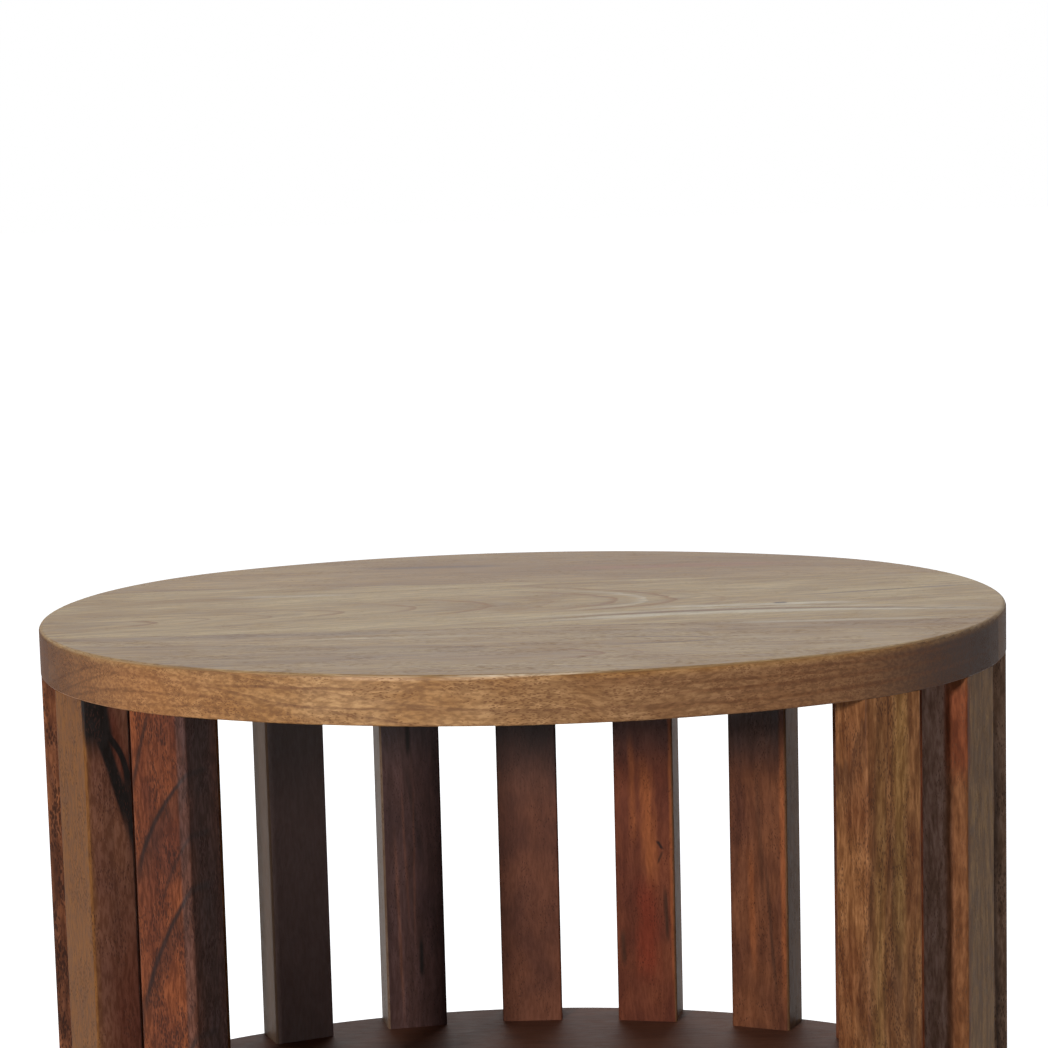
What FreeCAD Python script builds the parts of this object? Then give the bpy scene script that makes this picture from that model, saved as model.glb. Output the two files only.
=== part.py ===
"""Oval end table with a shelf, in solid wood: three edge-glued oval panels joined by two tiers of slats.

The slats stand flush with the rim, all round but for an open front, and are tenoned into the panels.
Units are millimetres. +Z is up, the open front faces -Y, and the origin is at the middle of the footprint,
on the floor.
"""
import FreeCAD
import Part
import Sketcher

import math
import os

# Driving dimensions of the table: (alias, value, what it is).
DIMENSIONS = [
    ("overall_width", 450.0, "long axis of the oval panels"),
    ("overall_depth", 325.0, "short axis of the oval panels"),
    ("end_radius", 143.0, "radius of the two end arcs of the oval"),
    ("panel_thickness", 22.0, "top, shelf and base"),
    ("top_ease", 2.0, "rounding of the upper arris of the top"),
    ("small_ease", 0.5, "chamfer that breaks every other rim arris"),
    ("slat_length", 222.0, "clear height of one tier"),
    ("slat_width", 31.0, "slat, measured along the rim"),
    ("slat_thickness", 22.0, "slat, measured across the rim"),
    ("slat_ease", 0.8, "chamfer that breaks the slats' long arrises"),
    ("slat_pitch", 64.5, "slat spacing along the rim"),
    ("slats_each_side", 7.0, "slats either side of the one at the middle of the back"),
    ("tenon_width", 21.0, "stub tenon, along the rim"),
    ("tenon_thickness", 12.0, "stub tenon, across the rim"),
    ("tenon_length", 9.0, "stub tenon, into the panel"),
    ("glue_gap", 0.5, "mortise depth beyond the end of a tenon"),
    ("glide_diameter", 22.0, "floor glide, where it meets the base"),
    ("glide_foot_diameter", 19.0, "floor glide, on the floor"),
    ("glide_height", 4.0, "how far a glide stands below the base"),
    ("nail_diameter", 3.0, "nail that holds a glide"),
    ("nail_hold", 2.0, "nail, within its glide"),
    ("nail_reach", 12.0, "nail, into the base"),
    ("glide_offset_x", 150.0, "glide centres, each side of the middle"),
    ("glide_offset_y", 78.0, "glide centres, in front of and behind the middle"),
]

# Where the glue lines of each panel run: (front seam, back seam), as Y.
SEAMS = {"top": (-52.0, 68.0), "shelf": (-34.0, 74.0), "base": (-40.0, 62.0)}
BOARD_NAMES = ("front", "middle", "back")
# Which faces of each panel have mortises: 0 is the lower face, 1 the upper.
MORTISED_FACES = {"top": (0,), "shelf": (0, 1), "base": (1,)}
SHEET_NAME = "Dimensions"
CUT_MARGIN = 20.0  # how far a cutting sketch reaches past the solid that it cuts
FLAT_TOLERANCE = 0.001  # an edge with less rise than this is level

doc = FreeCAD.newDocument("OvalEndTable")


def build_sheet() -> dict[str, float]:
    """Write the driving dimensions into the spreadsheet and return them by alias."""
    sheet = doc.addObject("Spreadsheet::Sheet", SHEET_NAME)
    for row, (alias, value, note) in enumerate(DIMENSIONS, start=1):
        sheet.set(f"A{row}", alias)
        sheet.set(f"B{row}", str(value))
        sheet.set(f"C{row}", note)
        sheet.setAlias(f"B{row}", alias)
    doc.recompute()
    return {alias: float(sheet.get(alias)) for alias, _, _ in DIMENSIONS}


SIZE = build_sheet()
Z_BASE = SIZE["glide_height"]
Z_LOWER_SLATS = Z_BASE + SIZE["panel_thickness"]
Z_SHELF = Z_LOWER_SLATS + SIZE["slat_length"]
Z_UPPER_SLATS = Z_SHELF + SIZE["panel_thickness"]
Z_TOP = Z_UPPER_SLATS + SIZE["slat_length"]
PANEL_HEIGHTS = {"top": Z_TOP, "shelf": Z_SHELF, "base": Z_BASE}
TIER_HEIGHTS = {"upper": Z_UPPER_SLATS, "lower": Z_LOWER_SLATS}


def cell(alias: str) -> str:
    """Return the expression that reads one driving dimension."""
    return f"{SHEET_NAME}.{alias}"


SIDE_RADIUS_FORMULA = (
    f"({cell('overall_width')}^2 / 4 - {cell('overall_width')} * {cell('end_radius')}"
    f" + {cell('overall_depth')}^2 / 4) / ({cell('overall_depth')} - 2 * {cell('end_radius')})"
)


class Oval:
    """Four tangent arcs: two end arcs about the X axis, two flatter side arcs about the Y axis."""

    def __init__(self) -> None:
        half_width, half_depth = SIZE["overall_width"] / 2, SIZE["overall_depth"] / 2
        self.end_radius = SIZE["end_radius"]
        self.end_centre = half_width - self.end_radius
        self.side_radius = (half_width**2 - 2 * half_width * self.end_radius + half_depth**2) / (
            2 * (half_depth - self.end_radius)
        )
        self.side_centre = self.side_radius - half_depth
        self.join_angle = math.atan2(self.end_centre, self.side_centre)

    def at(self, arc_length: float) -> tuple[FreeCAD.Vector, float, float]:
        """Return the point, outward angle from +Y and radius at a distance along the rim from the back."""
        side = self.side_radius * self.join_angle
        end = self.end_radius * (math.pi - 2 * self.join_angle)
        run, hand = abs(arc_length), math.copysign(1.0, arc_length)
        if run <= side:
            radius, centre, angle = self.side_radius, (0.0, -self.side_centre), run / self.side_radius
        elif run <= side + end:
            radius, centre = self.end_radius, (self.end_centre, 0.0)
            angle = self.join_angle + (run - side) / self.end_radius
        else:
            radius, centre = self.side_radius, (0.0, self.side_centre)
            angle = math.pi - self.join_angle + (run - side - end) / self.side_radius
        x = centre[0] + radius * math.sin(angle)
        y = centre[1] + radius * math.cos(angle)
        return FreeCAD.Vector(hand * x, y), hand * angle, radius


OVAL = Oval()


def slat_stations() -> list[FreeCAD.Placement]:
    """Return where the slats stand, from the front left round the back to the front right.

    Each placement puts a slat's own centre line so that its outer face is flush with the rim.
    """
    stations = []
    for number in range(-int(SIZE["slats_each_side"]), int(SIZE["slats_each_side"]) + 1):
        rim, angle, radius = OVAL.at(number * SIZE["slat_pitch"])
        flush = radius - math.sqrt(radius**2 - (SIZE["slat_width"] / 2) ** 2)
        inset = flush + SIZE["slat_thickness"] / 2
        centre = rim - FreeCAD.Vector(math.sin(angle), math.cos(angle)) * inset
        turn = FreeCAD.Rotation(FreeCAD.Vector(0, 0, 1), -math.degrees(angle))
        stations.append(FreeCAD.Placement(centre, turn))
    return stations


STATIONS = slat_stations()
NODES = [f"{panel}_board_{board}" for panel in PANEL_HEIGHTS for board in BOARD_NAMES]
NODES += [f"{tier}_slat_{number:02d}" for tier in TIER_HEIGHTS for number in range(1, len(STATIONS) + 1)]
NODES += ["floor_glides", "glide_nails"]


def shifted(placement: FreeCAD.Placement, x: float, y: float, z: float) -> FreeCAD.Placement:
    """Return the placement moved along its own axes."""
    return placement.multiply(FreeCAD.Placement(FreeCAD.Vector(x, y, z), FreeCAD.Rotation()))


def new_body(label: str, placement: FreeCAD.Placement) -> "PartDesign.Body":
    """Add an empty body."""
    body = doc.addObject("PartDesign::Body", label)
    body.Label = label
    body.Placement = placement
    return body


def new_sketch(body: "PartDesign.Body", name: str, lift: str = "0") -> Sketcher.Sketch:
    """Add a sketch on the body's own XY plane, raised by an expression."""
    plane = next(item for item in body.Origin.OriginFeatures if item.Role == "XY_Plane")
    sketch = body.newObject("Sketcher::SketchObject", name)
    sketch.AttachmentSupport = [(plane, "")]
    sketch.MapMode = "FlatFace"
    sketch.setExpression("AttachmentOffset.Base.z", lift)
    return sketch


def constrain(sketch: Sketcher.Sketch, expression: str, *definition) -> None:
    """Add a dimension to a sketch and bind it to an expression."""
    index = sketch.addConstraint(Sketcher.Constraint(*definition))
    sketch.setExpression(f"Constraints[{index}]", expression)


def draw_oval(sketch: Sketcher.Sketch) -> None:
    """Draw the rim: right end, back, left end and front arcs, tangent where they meet."""
    up = FreeCAD.Vector(0, 0, 1)
    join = math.degrees(OVAL.join_angle)
    arcs = [
        (FreeCAD.Vector(OVAL.end_centre, 0), OVAL.end_radius, join - 90, 90 - join),
        (FreeCAD.Vector(0, -OVAL.side_centre), OVAL.side_radius, 90 - join, 90 + join),
        (FreeCAD.Vector(-OVAL.end_centre, 0), OVAL.end_radius, 90 + join, 270 - join),
        (FreeCAD.Vector(0, OVAL.side_centre), OVAL.side_radius, 270 - join, 270 + join),
    ]
    for centre, radius, start, stop in arcs:
        circle = Part.Circle(centre, up, radius)
        sketch.addGeometry(Part.ArcOfCircle(circle, math.radians(start), math.radians(stop)), False)
    for number in range(4):
        sketch.addConstraint(Sketcher.Constraint("Tangent", number, 2, (number + 1) % 4, 1))
    for side_arc in (1, 3):
        constrain(sketch, SIDE_RADIUS_FORMULA, "Radius", side_arc, OVAL.side_radius)
    for end_arc in (0, 2):
        sketch.addConstraint(Sketcher.Constraint("PointOnObject", end_arc, 3, -1))
        constrain(sketch, cell("end_radius"), "Radius", end_arc, OVAL.end_radius)
    reach = f"{cell('overall_width')} / 2 - {cell('end_radius')}"
    constrain(sketch, reach, "DistanceX", -1, 1, 0, 3, OVAL.end_centre)
    constrain(sketch, reach, "DistanceX", 2, 3, -1, 1, OVAL.end_centre)


def draw_rectangle(sketch: Sketcher.Sketch, sides: dict[str, tuple[float, str]]) -> None:
    """Draw an upright rectangle with each side at a driven distance from the origin.

    Args:
        sketch: Where it is drawn.
        sides: For "left", "right", "front" and "back", the distance and the expression that drives it.
    """
    (left, _), (right, _) = sides["left"], sides["right"]
    (front, _), (back, _) = sides["front"], sides["back"]
    corners = [FreeCAD.Vector(x, y) for x, y in ((left, front), (right, front), (right, back), (left, back))]
    for number in range(4):
        sketch.addGeometry(Part.LineSegment(corners[number], corners[(number + 1) % 4]), False)
    for number in range(4):
        sketch.addConstraint(Sketcher.Constraint("Coincident", number, 2, (number + 1) % 4, 1))
    for line, direction in ((0, "Horizontal"), (1, "Vertical"), (2, "Horizontal"), (3, "Vertical")):
        sketch.addConstraint(Sketcher.Constraint(direction, line))
    for line, side in enumerate(("front", "right", "back", "left")):
        value, expression = sides[side]
        constrain(sketch, expression, "DistanceX" if line % 2 else "DistanceY", -1, 1, line, 1, value)


def centred_sides(width: str, thickness: str) -> dict[str, tuple[float, str]]:
    """Return the sides of a rectangle centred on the origin, from two driving dimensions."""
    sides = {}
    for alias, names in ((width, ("left", "right")), (thickness, ("front", "back"))):
        for side, sign in zip(names, (-1, 1)):
            sides[side] = (sign * SIZE[alias] / 2, f"{sign} * {cell(alias)} / 2")
    return sides


def extrude(body: "PartDesign.Body", sketch: Sketcher.Sketch, name: str, length: str) -> None:
    """Pad a sketch upwards."""
    pad = body.newObject("PartDesign::Pad", name)
    pad.Profile = sketch
    pad.setExpression("Length", length)
    doc.recompute()


def cut_upwards(body: "PartDesign.Body", sketch: Sketcher.Sketch, name: str, depth: str) -> None:
    """Pocket a sketch upwards from its plane, and make sure that it removed material."""
    doc.recompute()
    before = body.Shape.Volume
    pocket = body.newObject("PartDesign::Pocket", name)
    pocket.Profile = sketch
    pocket.Reversed = True
    pocket.setExpression("Length", depth)
    doc.recompute()
    if not body.Shape.Volume < before:
        raise RuntimeError(f"{body.Label}: {name} cut nothing")


def rim_edges(shape: Part.Shape, height: float) -> list[str]:
    """Name the arcs of a panel's rim at one height."""
    names = []
    for number, edge in enumerate(shape.Edges, start=1):
        box = edge.BoundBox
        at_height = max(abs(box.ZMin - height), abs(box.ZMax - height)) < FLAT_TOLERANCE
        if at_height and isinstance(edge.Curve, Part.Circle):
            names.append(f"Edge{number}")
    return names


def upright_edges(shape: Part.Shape) -> list[str]:
    """Name the edges of a prism that rise."""
    edges = enumerate(shape.Edges, start=1)
    return [f"Edge{number}" for number, edge in edges if edge.BoundBox.ZLength > FLAT_TOLERANCE]


def glide_centres() -> list[FreeCAD.Vector]:
    """Return where the four floor glides are, round the base."""
    signs = ((-1, -1), (1, -1), (1, 1), (-1, 1))
    return [FreeCAD.Vector(sx * SIZE["glide_offset_x"], sy * SIZE["glide_offset_y"]) for sx, sy in signs]


def ease(body: "PartDesign.Body", kind: str, name: str, edges: list[str], alias: str) -> None:
    """Fillet or chamfer some edges of the body as it is, by a driving dimension."""
    feature = body.newObject(f"PartDesign::{kind}", name)
    feature.Base = (feature.BaseFeature, edges)
    feature.setExpression("Radius" if kind == "Fillet" else "Size", cell(alias))
    doc.recompute()


def ease_rim(body: "PartDesign.Body", panel: str) -> None:
    """Round the upper arris of the top, and break every other rim arris with a small chamfer."""
    thickness = SIZE["panel_thickness"]
    ease(body, "Chamfer", "BrokenLowerArris", rim_edges(body.Shape, PANEL_HEIGHTS[panel]), "small_ease")
    upper = rim_edges(body.Shape, PANEL_HEIGHTS[panel] + thickness)
    if panel == "top":
        ease(body, "Fillet", "RoundedUpperArris", upper, "top_ease")
    else:
        ease(body, "Chamfer", "BrokenUpperArris", upper, "small_ease")


def make_mortises(panel: str) -> "Part.Compound":
    """Make the boxes that cut a panel's mortises, one for each tenon that enters it."""
    depth = SIZE["tenon_length"] + SIZE["glue_gap"]
    cutters = []
    for face in MORTISED_FACES[panel]:
        z = PANEL_HEIGHTS[panel] + face * (SIZE["panel_thickness"] - depth)
        for station in STATIONS:
            cutter = doc.addObject("Part::Box", f"{panel}_mortise")
            cutter.setExpression("Length", cell("tenon_width"))
            cutter.setExpression("Width", cell("tenon_thickness"))
            cutter.setExpression("Height", f"{cell('tenon_length')} + {cell('glue_gap')}")
            cutter.Placement = shifted(station, -SIZE["tenon_width"] / 2, -SIZE["tenon_thickness"] / 2, z)
            cutters.append(cutter)
    compound = doc.addObject("Part::Compound", f"{panel}_mortises")
    compound.Links = cutters
    return compound


def make_board(panel: str, board: str, mortises: "Part.Compound") -> None:
    """Make one board of an oval panel: the eased oval, cut back to its glue lines, with its mortises."""
    height = FreeCAD.Vector(0, 0, PANEL_HEIGHTS[panel])
    body = new_body(f"{panel}_{board}_blank", FreeCAD.Placement(height, FreeCAD.Rotation()))
    outline = new_sketch(body, "Outline")
    draw_oval(outline)
    extrude(body, outline, "Thickness", cell("panel_thickness"))

    half_width, half_depth = SIZE["overall_width"] / 2 + CUT_MARGIN, SIZE["overall_depth"] / 2 + CUT_MARGIN
    past_end = f"({cell('overall_width')} / 2 + {CUT_MARGIN})"
    past_side = f"({cell('overall_depth')} / 2 + {CUT_MARGIN})"
    ends = {"left": (-half_width, f"-{past_end}"), "right": (half_width, past_end)}
    glue_lines = (-half_depth, *SEAMS[panel], half_depth)
    place = BOARD_NAMES.index(board)
    low_y, high_y = glue_lines[place : place + 2]
    if board != "front":
        waste = new_sketch(body, "BeyondFrontSeam")
        draw_rectangle(waste, {**ends, "front": (-half_depth, f"-{past_side}"), "back": (low_y, str(low_y))})
        cut_upwards(body, waste, "FrontSeam", cell("panel_thickness"))
    if board != "back":
        waste = new_sketch(body, "BeyondBackSeam")
        draw_rectangle(waste, {**ends, "front": (high_y, str(high_y)), "back": (half_depth, past_side)})
        cut_upwards(body, waste, "BackSeam", cell("panel_thickness"))
    ease_rim(body, panel)
    nails = [centre for centre in glide_centres() if panel == "base" and low_y < centre.y < high_y]
    if nails:
        holes = new_sketch(body, "GlideNailHoles")
        for number, centre in enumerate(nails):
            circle = Part.Circle(centre, FreeCAD.Vector(0, 0, 1), SIZE["nail_diameter"] / 2)
            holes.addGeometry(circle, False)
            constrain(holes, cell("nail_diameter"), "Diameter", number, SIZE["nail_diameter"])
        cut_upwards(body, holes, "GlideNailHolesCut", cell("nail_reach"))

    finished = doc.addObject("Part::Cut", f"{panel}_board_{board}")
    finished.Base, finished.Tool = body, mortises


def make_slat(label: str, placement: FreeCAD.Placement) -> None:
    """Make one slat: a straight bar with eased long arrises and a stub tenon at each end."""
    body = new_body(label, placement)
    section = new_sketch(body, "Section")
    draw_rectangle(section, centred_sides("slat_width", "slat_thickness"))
    extrude(body, section, "Bar", cell("slat_length"))
    ease(body, "Chamfer", "BrokenArrises", upright_edges(body.Shape), "slat_ease")
    tenon = new_sketch(body, "TenonSection", f"-{cell('tenon_length')}")
    draw_rectangle(tenon, centred_sides("tenon_width", "tenon_thickness"))
    extrude(body, tenon, "Tenons", f"{cell('slat_length')} + 2 * {cell('tenon_length')}")


def make_nail(name: str, centre: FreeCAD.Vector) -> "Part.Feature":
    """Make the shank that joins a glide to the base; the same form cuts its hole in the glide."""
    shank = doc.addObject("Part::Cylinder", name)
    shank.setExpression("Radius", f"{cell('nail_diameter')} / 2")
    shank.setExpression("Height", f"{cell('nail_hold')} + {cell('nail_reach')}")
    z_low = SIZE["glide_height"] - SIZE["nail_hold"]
    shank.Placement = FreeCAD.Placement(centre + FreeCAD.Vector(0, 0, z_low), FreeCAD.Rotation())
    return shank


def make_glides(glides_label: str, nails_label: str) -> None:
    """Make the four floor glides, each a low tapered disc, and the nails set in them."""
    glides, nails = [], []
    for centre in glide_centres():
        blank = doc.addObject("Part::Cone", "glide_blank")
        blank.setExpression("Radius1", f"{cell('glide_foot_diameter')} / 2")
        blank.setExpression("Radius2", f"{cell('glide_diameter')} / 2")
        blank.setExpression("Height", cell("glide_height"))
        blank.Placement = FreeCAD.Placement(centre, FreeCAD.Rotation())
        glide = doc.addObject("Part::Cut", "glide")
        glide.Base, glide.Tool = blank, make_nail("nail_hole", centre)
        glides.append(glide)
        nails.append(make_nail("nail", centre))
    for label, pieces in ((glides_label, glides), (nails_label, nails)):
        group = doc.addObject("Part::Compound", label)
        group.Links = pieces


def check_and_export() -> None:
    """Stop on any failed object or bad shape, then write one STEP file for each sub-part."""
    doc.recompute()
    failed = [item.Name for item in doc.Objects if "Invalid" in item.State or "Error" in item.State]
    if failed:
        raise RuntimeError(f"failed objects: {failed}")
    sub_parts = [item for item in doc.Objects if item.Label in NODES]
    for item in sub_parts:
        if item.Shape.isNull() or not item.Shape.isValid():
            raise RuntimeError(f"bad shape: {item.Label}")
    if len(sub_parts) != len(NODES):
        raise RuntimeError(f"{len(sub_parts)} sub-parts for {len(NODES)} names")
    os.makedirs("parts", exist_ok=True)
    for item in sub_parts:
        item.Shape.exportStep(f"parts/{item.Label}.step")
        print(f"{item.Label}: {len(item.Shape.Solids)} solid(s), {item.Shape.Volume / 1000:.1f} cm3")


for panel_name in PANEL_HEIGHTS:
    panel_mortises = make_mortises(panel_name)
    for board_name in BOARD_NAMES:
        make_board(panel_name, board_name, panel_mortises)
for tier_name, tier_height in TIER_HEIGHTS.items():
    for slat_number, slat_station in enumerate(STATIONS, start=1):
        make_slat(f"{tier_name}_slat_{slat_number:02d}", shifted(slat_station, 0, 0, tier_height))
make_glides("floor_glides", "glide_nails")
check_and_export()
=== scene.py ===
"""The looks of an oval end table with a shelf, dressed in satin hardwood.

Every board and slat is cut from its own piece of timber: growth rings, fibre, pores and stains are solid
patterns in the piece's own frame, so that they run through from face to face and turn to end grain at the
ends. Everything is in metres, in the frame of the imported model: +Z up, the open front faces -Y.
"""

import logging
import math
from dataclasses import dataclass, replace
from enum import Enum

import bmesh
import bpy
from mathutils import Matrix, Vector

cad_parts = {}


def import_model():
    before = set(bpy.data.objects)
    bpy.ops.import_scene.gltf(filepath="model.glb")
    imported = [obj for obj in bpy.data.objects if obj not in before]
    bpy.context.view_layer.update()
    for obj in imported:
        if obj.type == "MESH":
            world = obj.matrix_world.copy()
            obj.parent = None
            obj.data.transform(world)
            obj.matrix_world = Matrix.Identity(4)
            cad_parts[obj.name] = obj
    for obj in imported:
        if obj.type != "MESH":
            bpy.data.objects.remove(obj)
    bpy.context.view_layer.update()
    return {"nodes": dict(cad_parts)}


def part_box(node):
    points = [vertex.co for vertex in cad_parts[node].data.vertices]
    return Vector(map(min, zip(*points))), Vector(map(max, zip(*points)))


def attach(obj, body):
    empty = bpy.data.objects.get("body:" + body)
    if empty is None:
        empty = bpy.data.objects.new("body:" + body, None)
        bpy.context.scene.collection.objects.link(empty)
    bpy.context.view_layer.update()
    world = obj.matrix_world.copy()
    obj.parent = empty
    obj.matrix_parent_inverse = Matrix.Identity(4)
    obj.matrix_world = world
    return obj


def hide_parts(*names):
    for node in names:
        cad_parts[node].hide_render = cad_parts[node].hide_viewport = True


LOG = logging.getLogger("end_table")
MM = 0.001

Colour = tuple[float, float, float]
Scale = tuple[float, float, float]
Labels = tuple[str, ...]
Socket = bpy.types.NodeSocket


def opaque(colour: Colour) -> tuple[float, float, float, float]:
    """Return a colour with full alpha, as colour sockets want it."""
    return (*colour, 1.0)


# ---------------------------------------------------------------------------------------------------------
# Node trees

# Features per metre of each pattern, along the grain first and then across it.
SLOW_WAVER: Scale = (6.0, 18.0, 18.0)
FAST_WAVER: Scale = (30.0, 160.0, 160.0)
GRAIN_SWAY: Scale = (12.0, 34.0, 34.0)
FINE_FIBRE: Scale = (105.0, 800.0, 800.0)
RIBBONS: Scale = (26.0, 290.0, 290.0)
PORE_CELLS: Scale = (230.0, 1600.0, 1600.0)
PORE_GROUPS: Scale = (22.0, 130.0, 130.0)
CLOUDS: Scale = (16.0, 42.0, 42.0)
RAGGED_EDGES: Scale = (45.0, 330.0, 330.0)
ARCH_WOBBLE: Scale = (22.0, 70.0, 0.0)

SLOW_SHARE, FAST_SHARE = 2.0, 0.3  # how far the slow and the fast waver move a ring
UNEVEN_PACE, UNEVEN_YEARS = 0.31, 2.4  # how often good and poor years change, and by how much
LATEWOOD_START, LATEWOOD_FULL, LATEWOOD_END = 0.3, 0.93, 0.94  # of one year's growth
LATEWOOD_CURVE = 2.4  # how late in the year the wood darkens
YEAR_SEED, ZONE_SEED = 7.31, 40.0  # set the patterns of years and of zones apart
ZONE_PACE = 0.23  # how fast the zones change, per year
SWAY = (0.0, 0.007, 0.007)  # how far the fibre leaves its straight line, in metres
PORE_EDGE = 0.12  # softness of a pore's edge, as a share of the pores' spacing
WOBBLE, WOBBLE_START = (0.012, 0.008, 0.0), (-0.006, -0.004, 0.0)  # how far an arch wanders, in metres
ARCH_SHADE, ARCH_CURVE = -5.0, 2.2  # where an arch's shade starts, in half widths, and how it grows
ARCH_SKIN, ARCH_DEPTH = 0.5 * MM, 3.0 * MM  # how far an arch reaches below the face


class Graph:
    """Adds nodes to one node tree and joins them."""

    def __init__(self, tree: bpy.types.NodeTree) -> None:
        """Take an empty node tree.

        Args:
            tree: The tree that every later call adds to.
        """
        self.tree = tree

    def node(self, kind: str, **settings: object) -> bpy.types.Node:
        """Add a node and set its properties.

        Args:
            kind: The node's type, without its "ShaderNode" prefix where it has one.
            **settings: Properties of the node, by name.

        Returns:
            The new node.
        """
        name = kind if kind.startswith("NodeGroup") else f"ShaderNode{kind}"
        made = self.tree.nodes.new(name)
        for key, value in settings.items():
            setattr(made, key, value)
        return made

    def feed(self, target: Socket, value: object) -> None:
        """Join a socket to an input, or set the input to a constant.

        Args:
            target: The input.
            value: A socket, or a constant that the input takes.
        """
        if isinstance(value, bpy.types.NodeSocket):
            self.tree.links.new(value, target)
        else:
            target.default_value = value

    def math(self, operation: str, *values: object, clamp: bool = False) -> Socket:
        """Add a Math node.

        Args:
            operation: The node's operation.
            *values: Its inputs in order, as sockets or numbers.
            clamp: Whether the result is held between 0 and 1.

        Returns:
            The result's socket.
        """
        made = self.node("Math", operation=operation, use_clamp=clamp)
        for target, value in zip(made.inputs, values):
            self.feed(target, value)
        return made.outputs[0]

    def vector_math(self, operation: str, *values: object) -> Socket:
        """Add a Vector Math node.

        Args:
            operation: The node's operation.
            *values: Its inputs in order, as sockets or vectors.

        Returns:
            The result's socket.
        """
        made = self.node("VectorMath", operation=operation)
        for target, value in zip(made.inputs, values):
            self.feed(target, value)
        return made.outputs[0]

    def between(
        self, value: object, low: object, high: float, to_low: float = 0.0, to_high: float = 1.0
    ) -> Socket:
        """Remap a value smoothly from one range to another, and hold it there.

        Args:
            value: The socket that is remapped.
            low: Where the output is to_low.
            high: Where the output is to_high.
            to_low: The output at low.
            to_high: The output at high.

        Returns:
            The remapped value's socket.
        """
        made = self.node("MapRange", interpolation_type="SMOOTHSTEP", clamp=True)
        for target, number in zip(made.inputs[:5], (value, low, high, to_low, to_high)):
            self.feed(target, number)
        return made.outputs[0]

    def noise(
        self, vector: object, scale: Scale, offset: object, detail: float, roughness: float = 0.5
    ) -> bpy.types.Node:
        """Add a noise that is stretched differently along each axis.

        Args:
            vector: The position.
            scale: Features per metre along each axis.
            offset: A vector that picks the pattern.
            detail: How many finer layers are added.
            roughness: How strong the finer layers are.

        Returns:
            The noise node.
        """
        made = self.node("TexNoise", noise_dimensions="3D", normalize=True)
        self.feed(made.inputs["Vector"], self.vector_math("MULTIPLY_ADD", vector, scale, offset))
        made.inputs["Scale"].default_value = 1.0
        made.inputs["Detail"].default_value = detail
        made.inputs["Roughness"].default_value = roughness
        return made

    def split(self, vector: object) -> bpy.types.NodeOutputs:
        """Split a vector.

        Args:
            vector: The vector's socket.

        Returns:
            The sockets of its X, Y and Z.
        """
        made = self.node("SeparateXYZ")
        self.feed(made.inputs[0], vector)
        return made.outputs

    def join(self, *parts: object) -> Socket:
        """Join three numbers to a vector.

        Args:
            *parts: Its X, Y and Z, as sockets or numbers.

        Returns:
            The vector's socket.
        """
        made = self.node("CombineXYZ")
        for target, part in zip(made.inputs, parts):
            self.feed(target, part)
        return made.outputs[0]

    def bump(self, height: Socket, strength: float, depth: float) -> Socket:
        """Add a Bump node.

        Args:
            height: The relief, as a share of its depth.
            strength: How strongly it shows.
            depth: How deep it is, in metres.

        Returns:
            The socket of the bent normal.
        """
        made = self.node("Bump")
        for name, value in (("Height", height), ("Strength", strength), ("Distance", depth)):
            self.feed(made.inputs[name], value)
        return made.outputs[0]

    def scatter(self, seed: object) -> Socket:
        """Turn a seed into a vector far from that of its neighbours."""
        return self.join(*(self.math("MULTIPLY", seed, step) for step in (3.1, 5.7, 9.3)))

    def noise_along(self, position: object, detail: float) -> Socket:
        """Add a noise along one axis.

        Args:
            position: The place on the axis.
            detail: How many finer layers are added.

        Returns:
            The noise's value.
        """
        made = self.node("TexNoise", noise_dimensions="1D", normalize=True)
        self.feed(made.inputs["W"], position)
        made.inputs["Scale"].default_value = 1.0
        made.inputs["Detail"].default_value = detail
        return made.outputs["Fac"]

    def mix(self, factor: object, first: object, second: object, blend: str = "MIX") -> Socket:
        """Mix two colours.

        Args:
            factor: How far the second is blended in, from 0 to 1.
            first: The colour that it starts from.
            second: The colour that is blended in.
            blend: How the two are blended.

        Returns:
            The mixed colour's socket.
        """
        made = self.node("Mix", data_type="RGBA", blend_type=blend, clamp_factor=True)
        for name, value in (("Factor_Float", factor), ("A_Color", first), ("B_Color", second)):
            target = next(item for item in made.inputs if item.identifier == name)
            self.feed(target, value)
        return next(item for item in made.outputs if item.identifier == "Result_Color")


def fresh_graph(owner: bpy.types.ID) -> Graph:
    """Empty the node tree of a new material or world.

    Args:
        owner: The material or the world.

    Returns:
        The graph of its empty tree.
    """
    owner.use_nodes = True
    owner.node_tree.nodes.clear()
    return Graph(owner.node_tree)


class SharedGroup:
    """A node group that several finishes place in their materials."""

    def __init__(self, name: str, vectors: Labels, floats: Labels, results: Labels) -> None:
        """Make the group and its sockets.

        Args:
            name: The group's name.
            vectors: The inputs that are vectors.
            floats: The inputs that are numbers.
            results: The outputs, all of them numbers.
        """
        self.tree = bpy.data.node_groups.new(name, "ShaderNodeTree")
        for labels, direction, kind in (
            (vectors, "INPUT", "NodeSocketVector"),
            (floats, "INPUT", "NodeSocketFloat"),
            (results, "OUTPUT", "NodeSocketFloat"),
        ):
            for label in labels:
                self.tree.interface.new_socket(label, in_out=direction, socket_type=kind)
        self.graph = Graph(self.tree)
        self.given = self.tree.nodes.new("NodeGroupInput").outputs
        self.result = self.tree.nodes.new("NodeGroupOutput").inputs

    def place(self, graph: Graph, **values: object) -> bpy.types.Node:
        """Place the group in a material.

        Args:
            graph: The material's graph.
            **values: Sockets or constants for its inputs, with "_" for a space.

        Returns:
            The group node.
        """
        made = graph.node("Group")
        made.node_tree = self.tree
        for key, value in values.items():
            graph.feed(made.inputs[key.replace("_", " ")], value)
        return made


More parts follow.
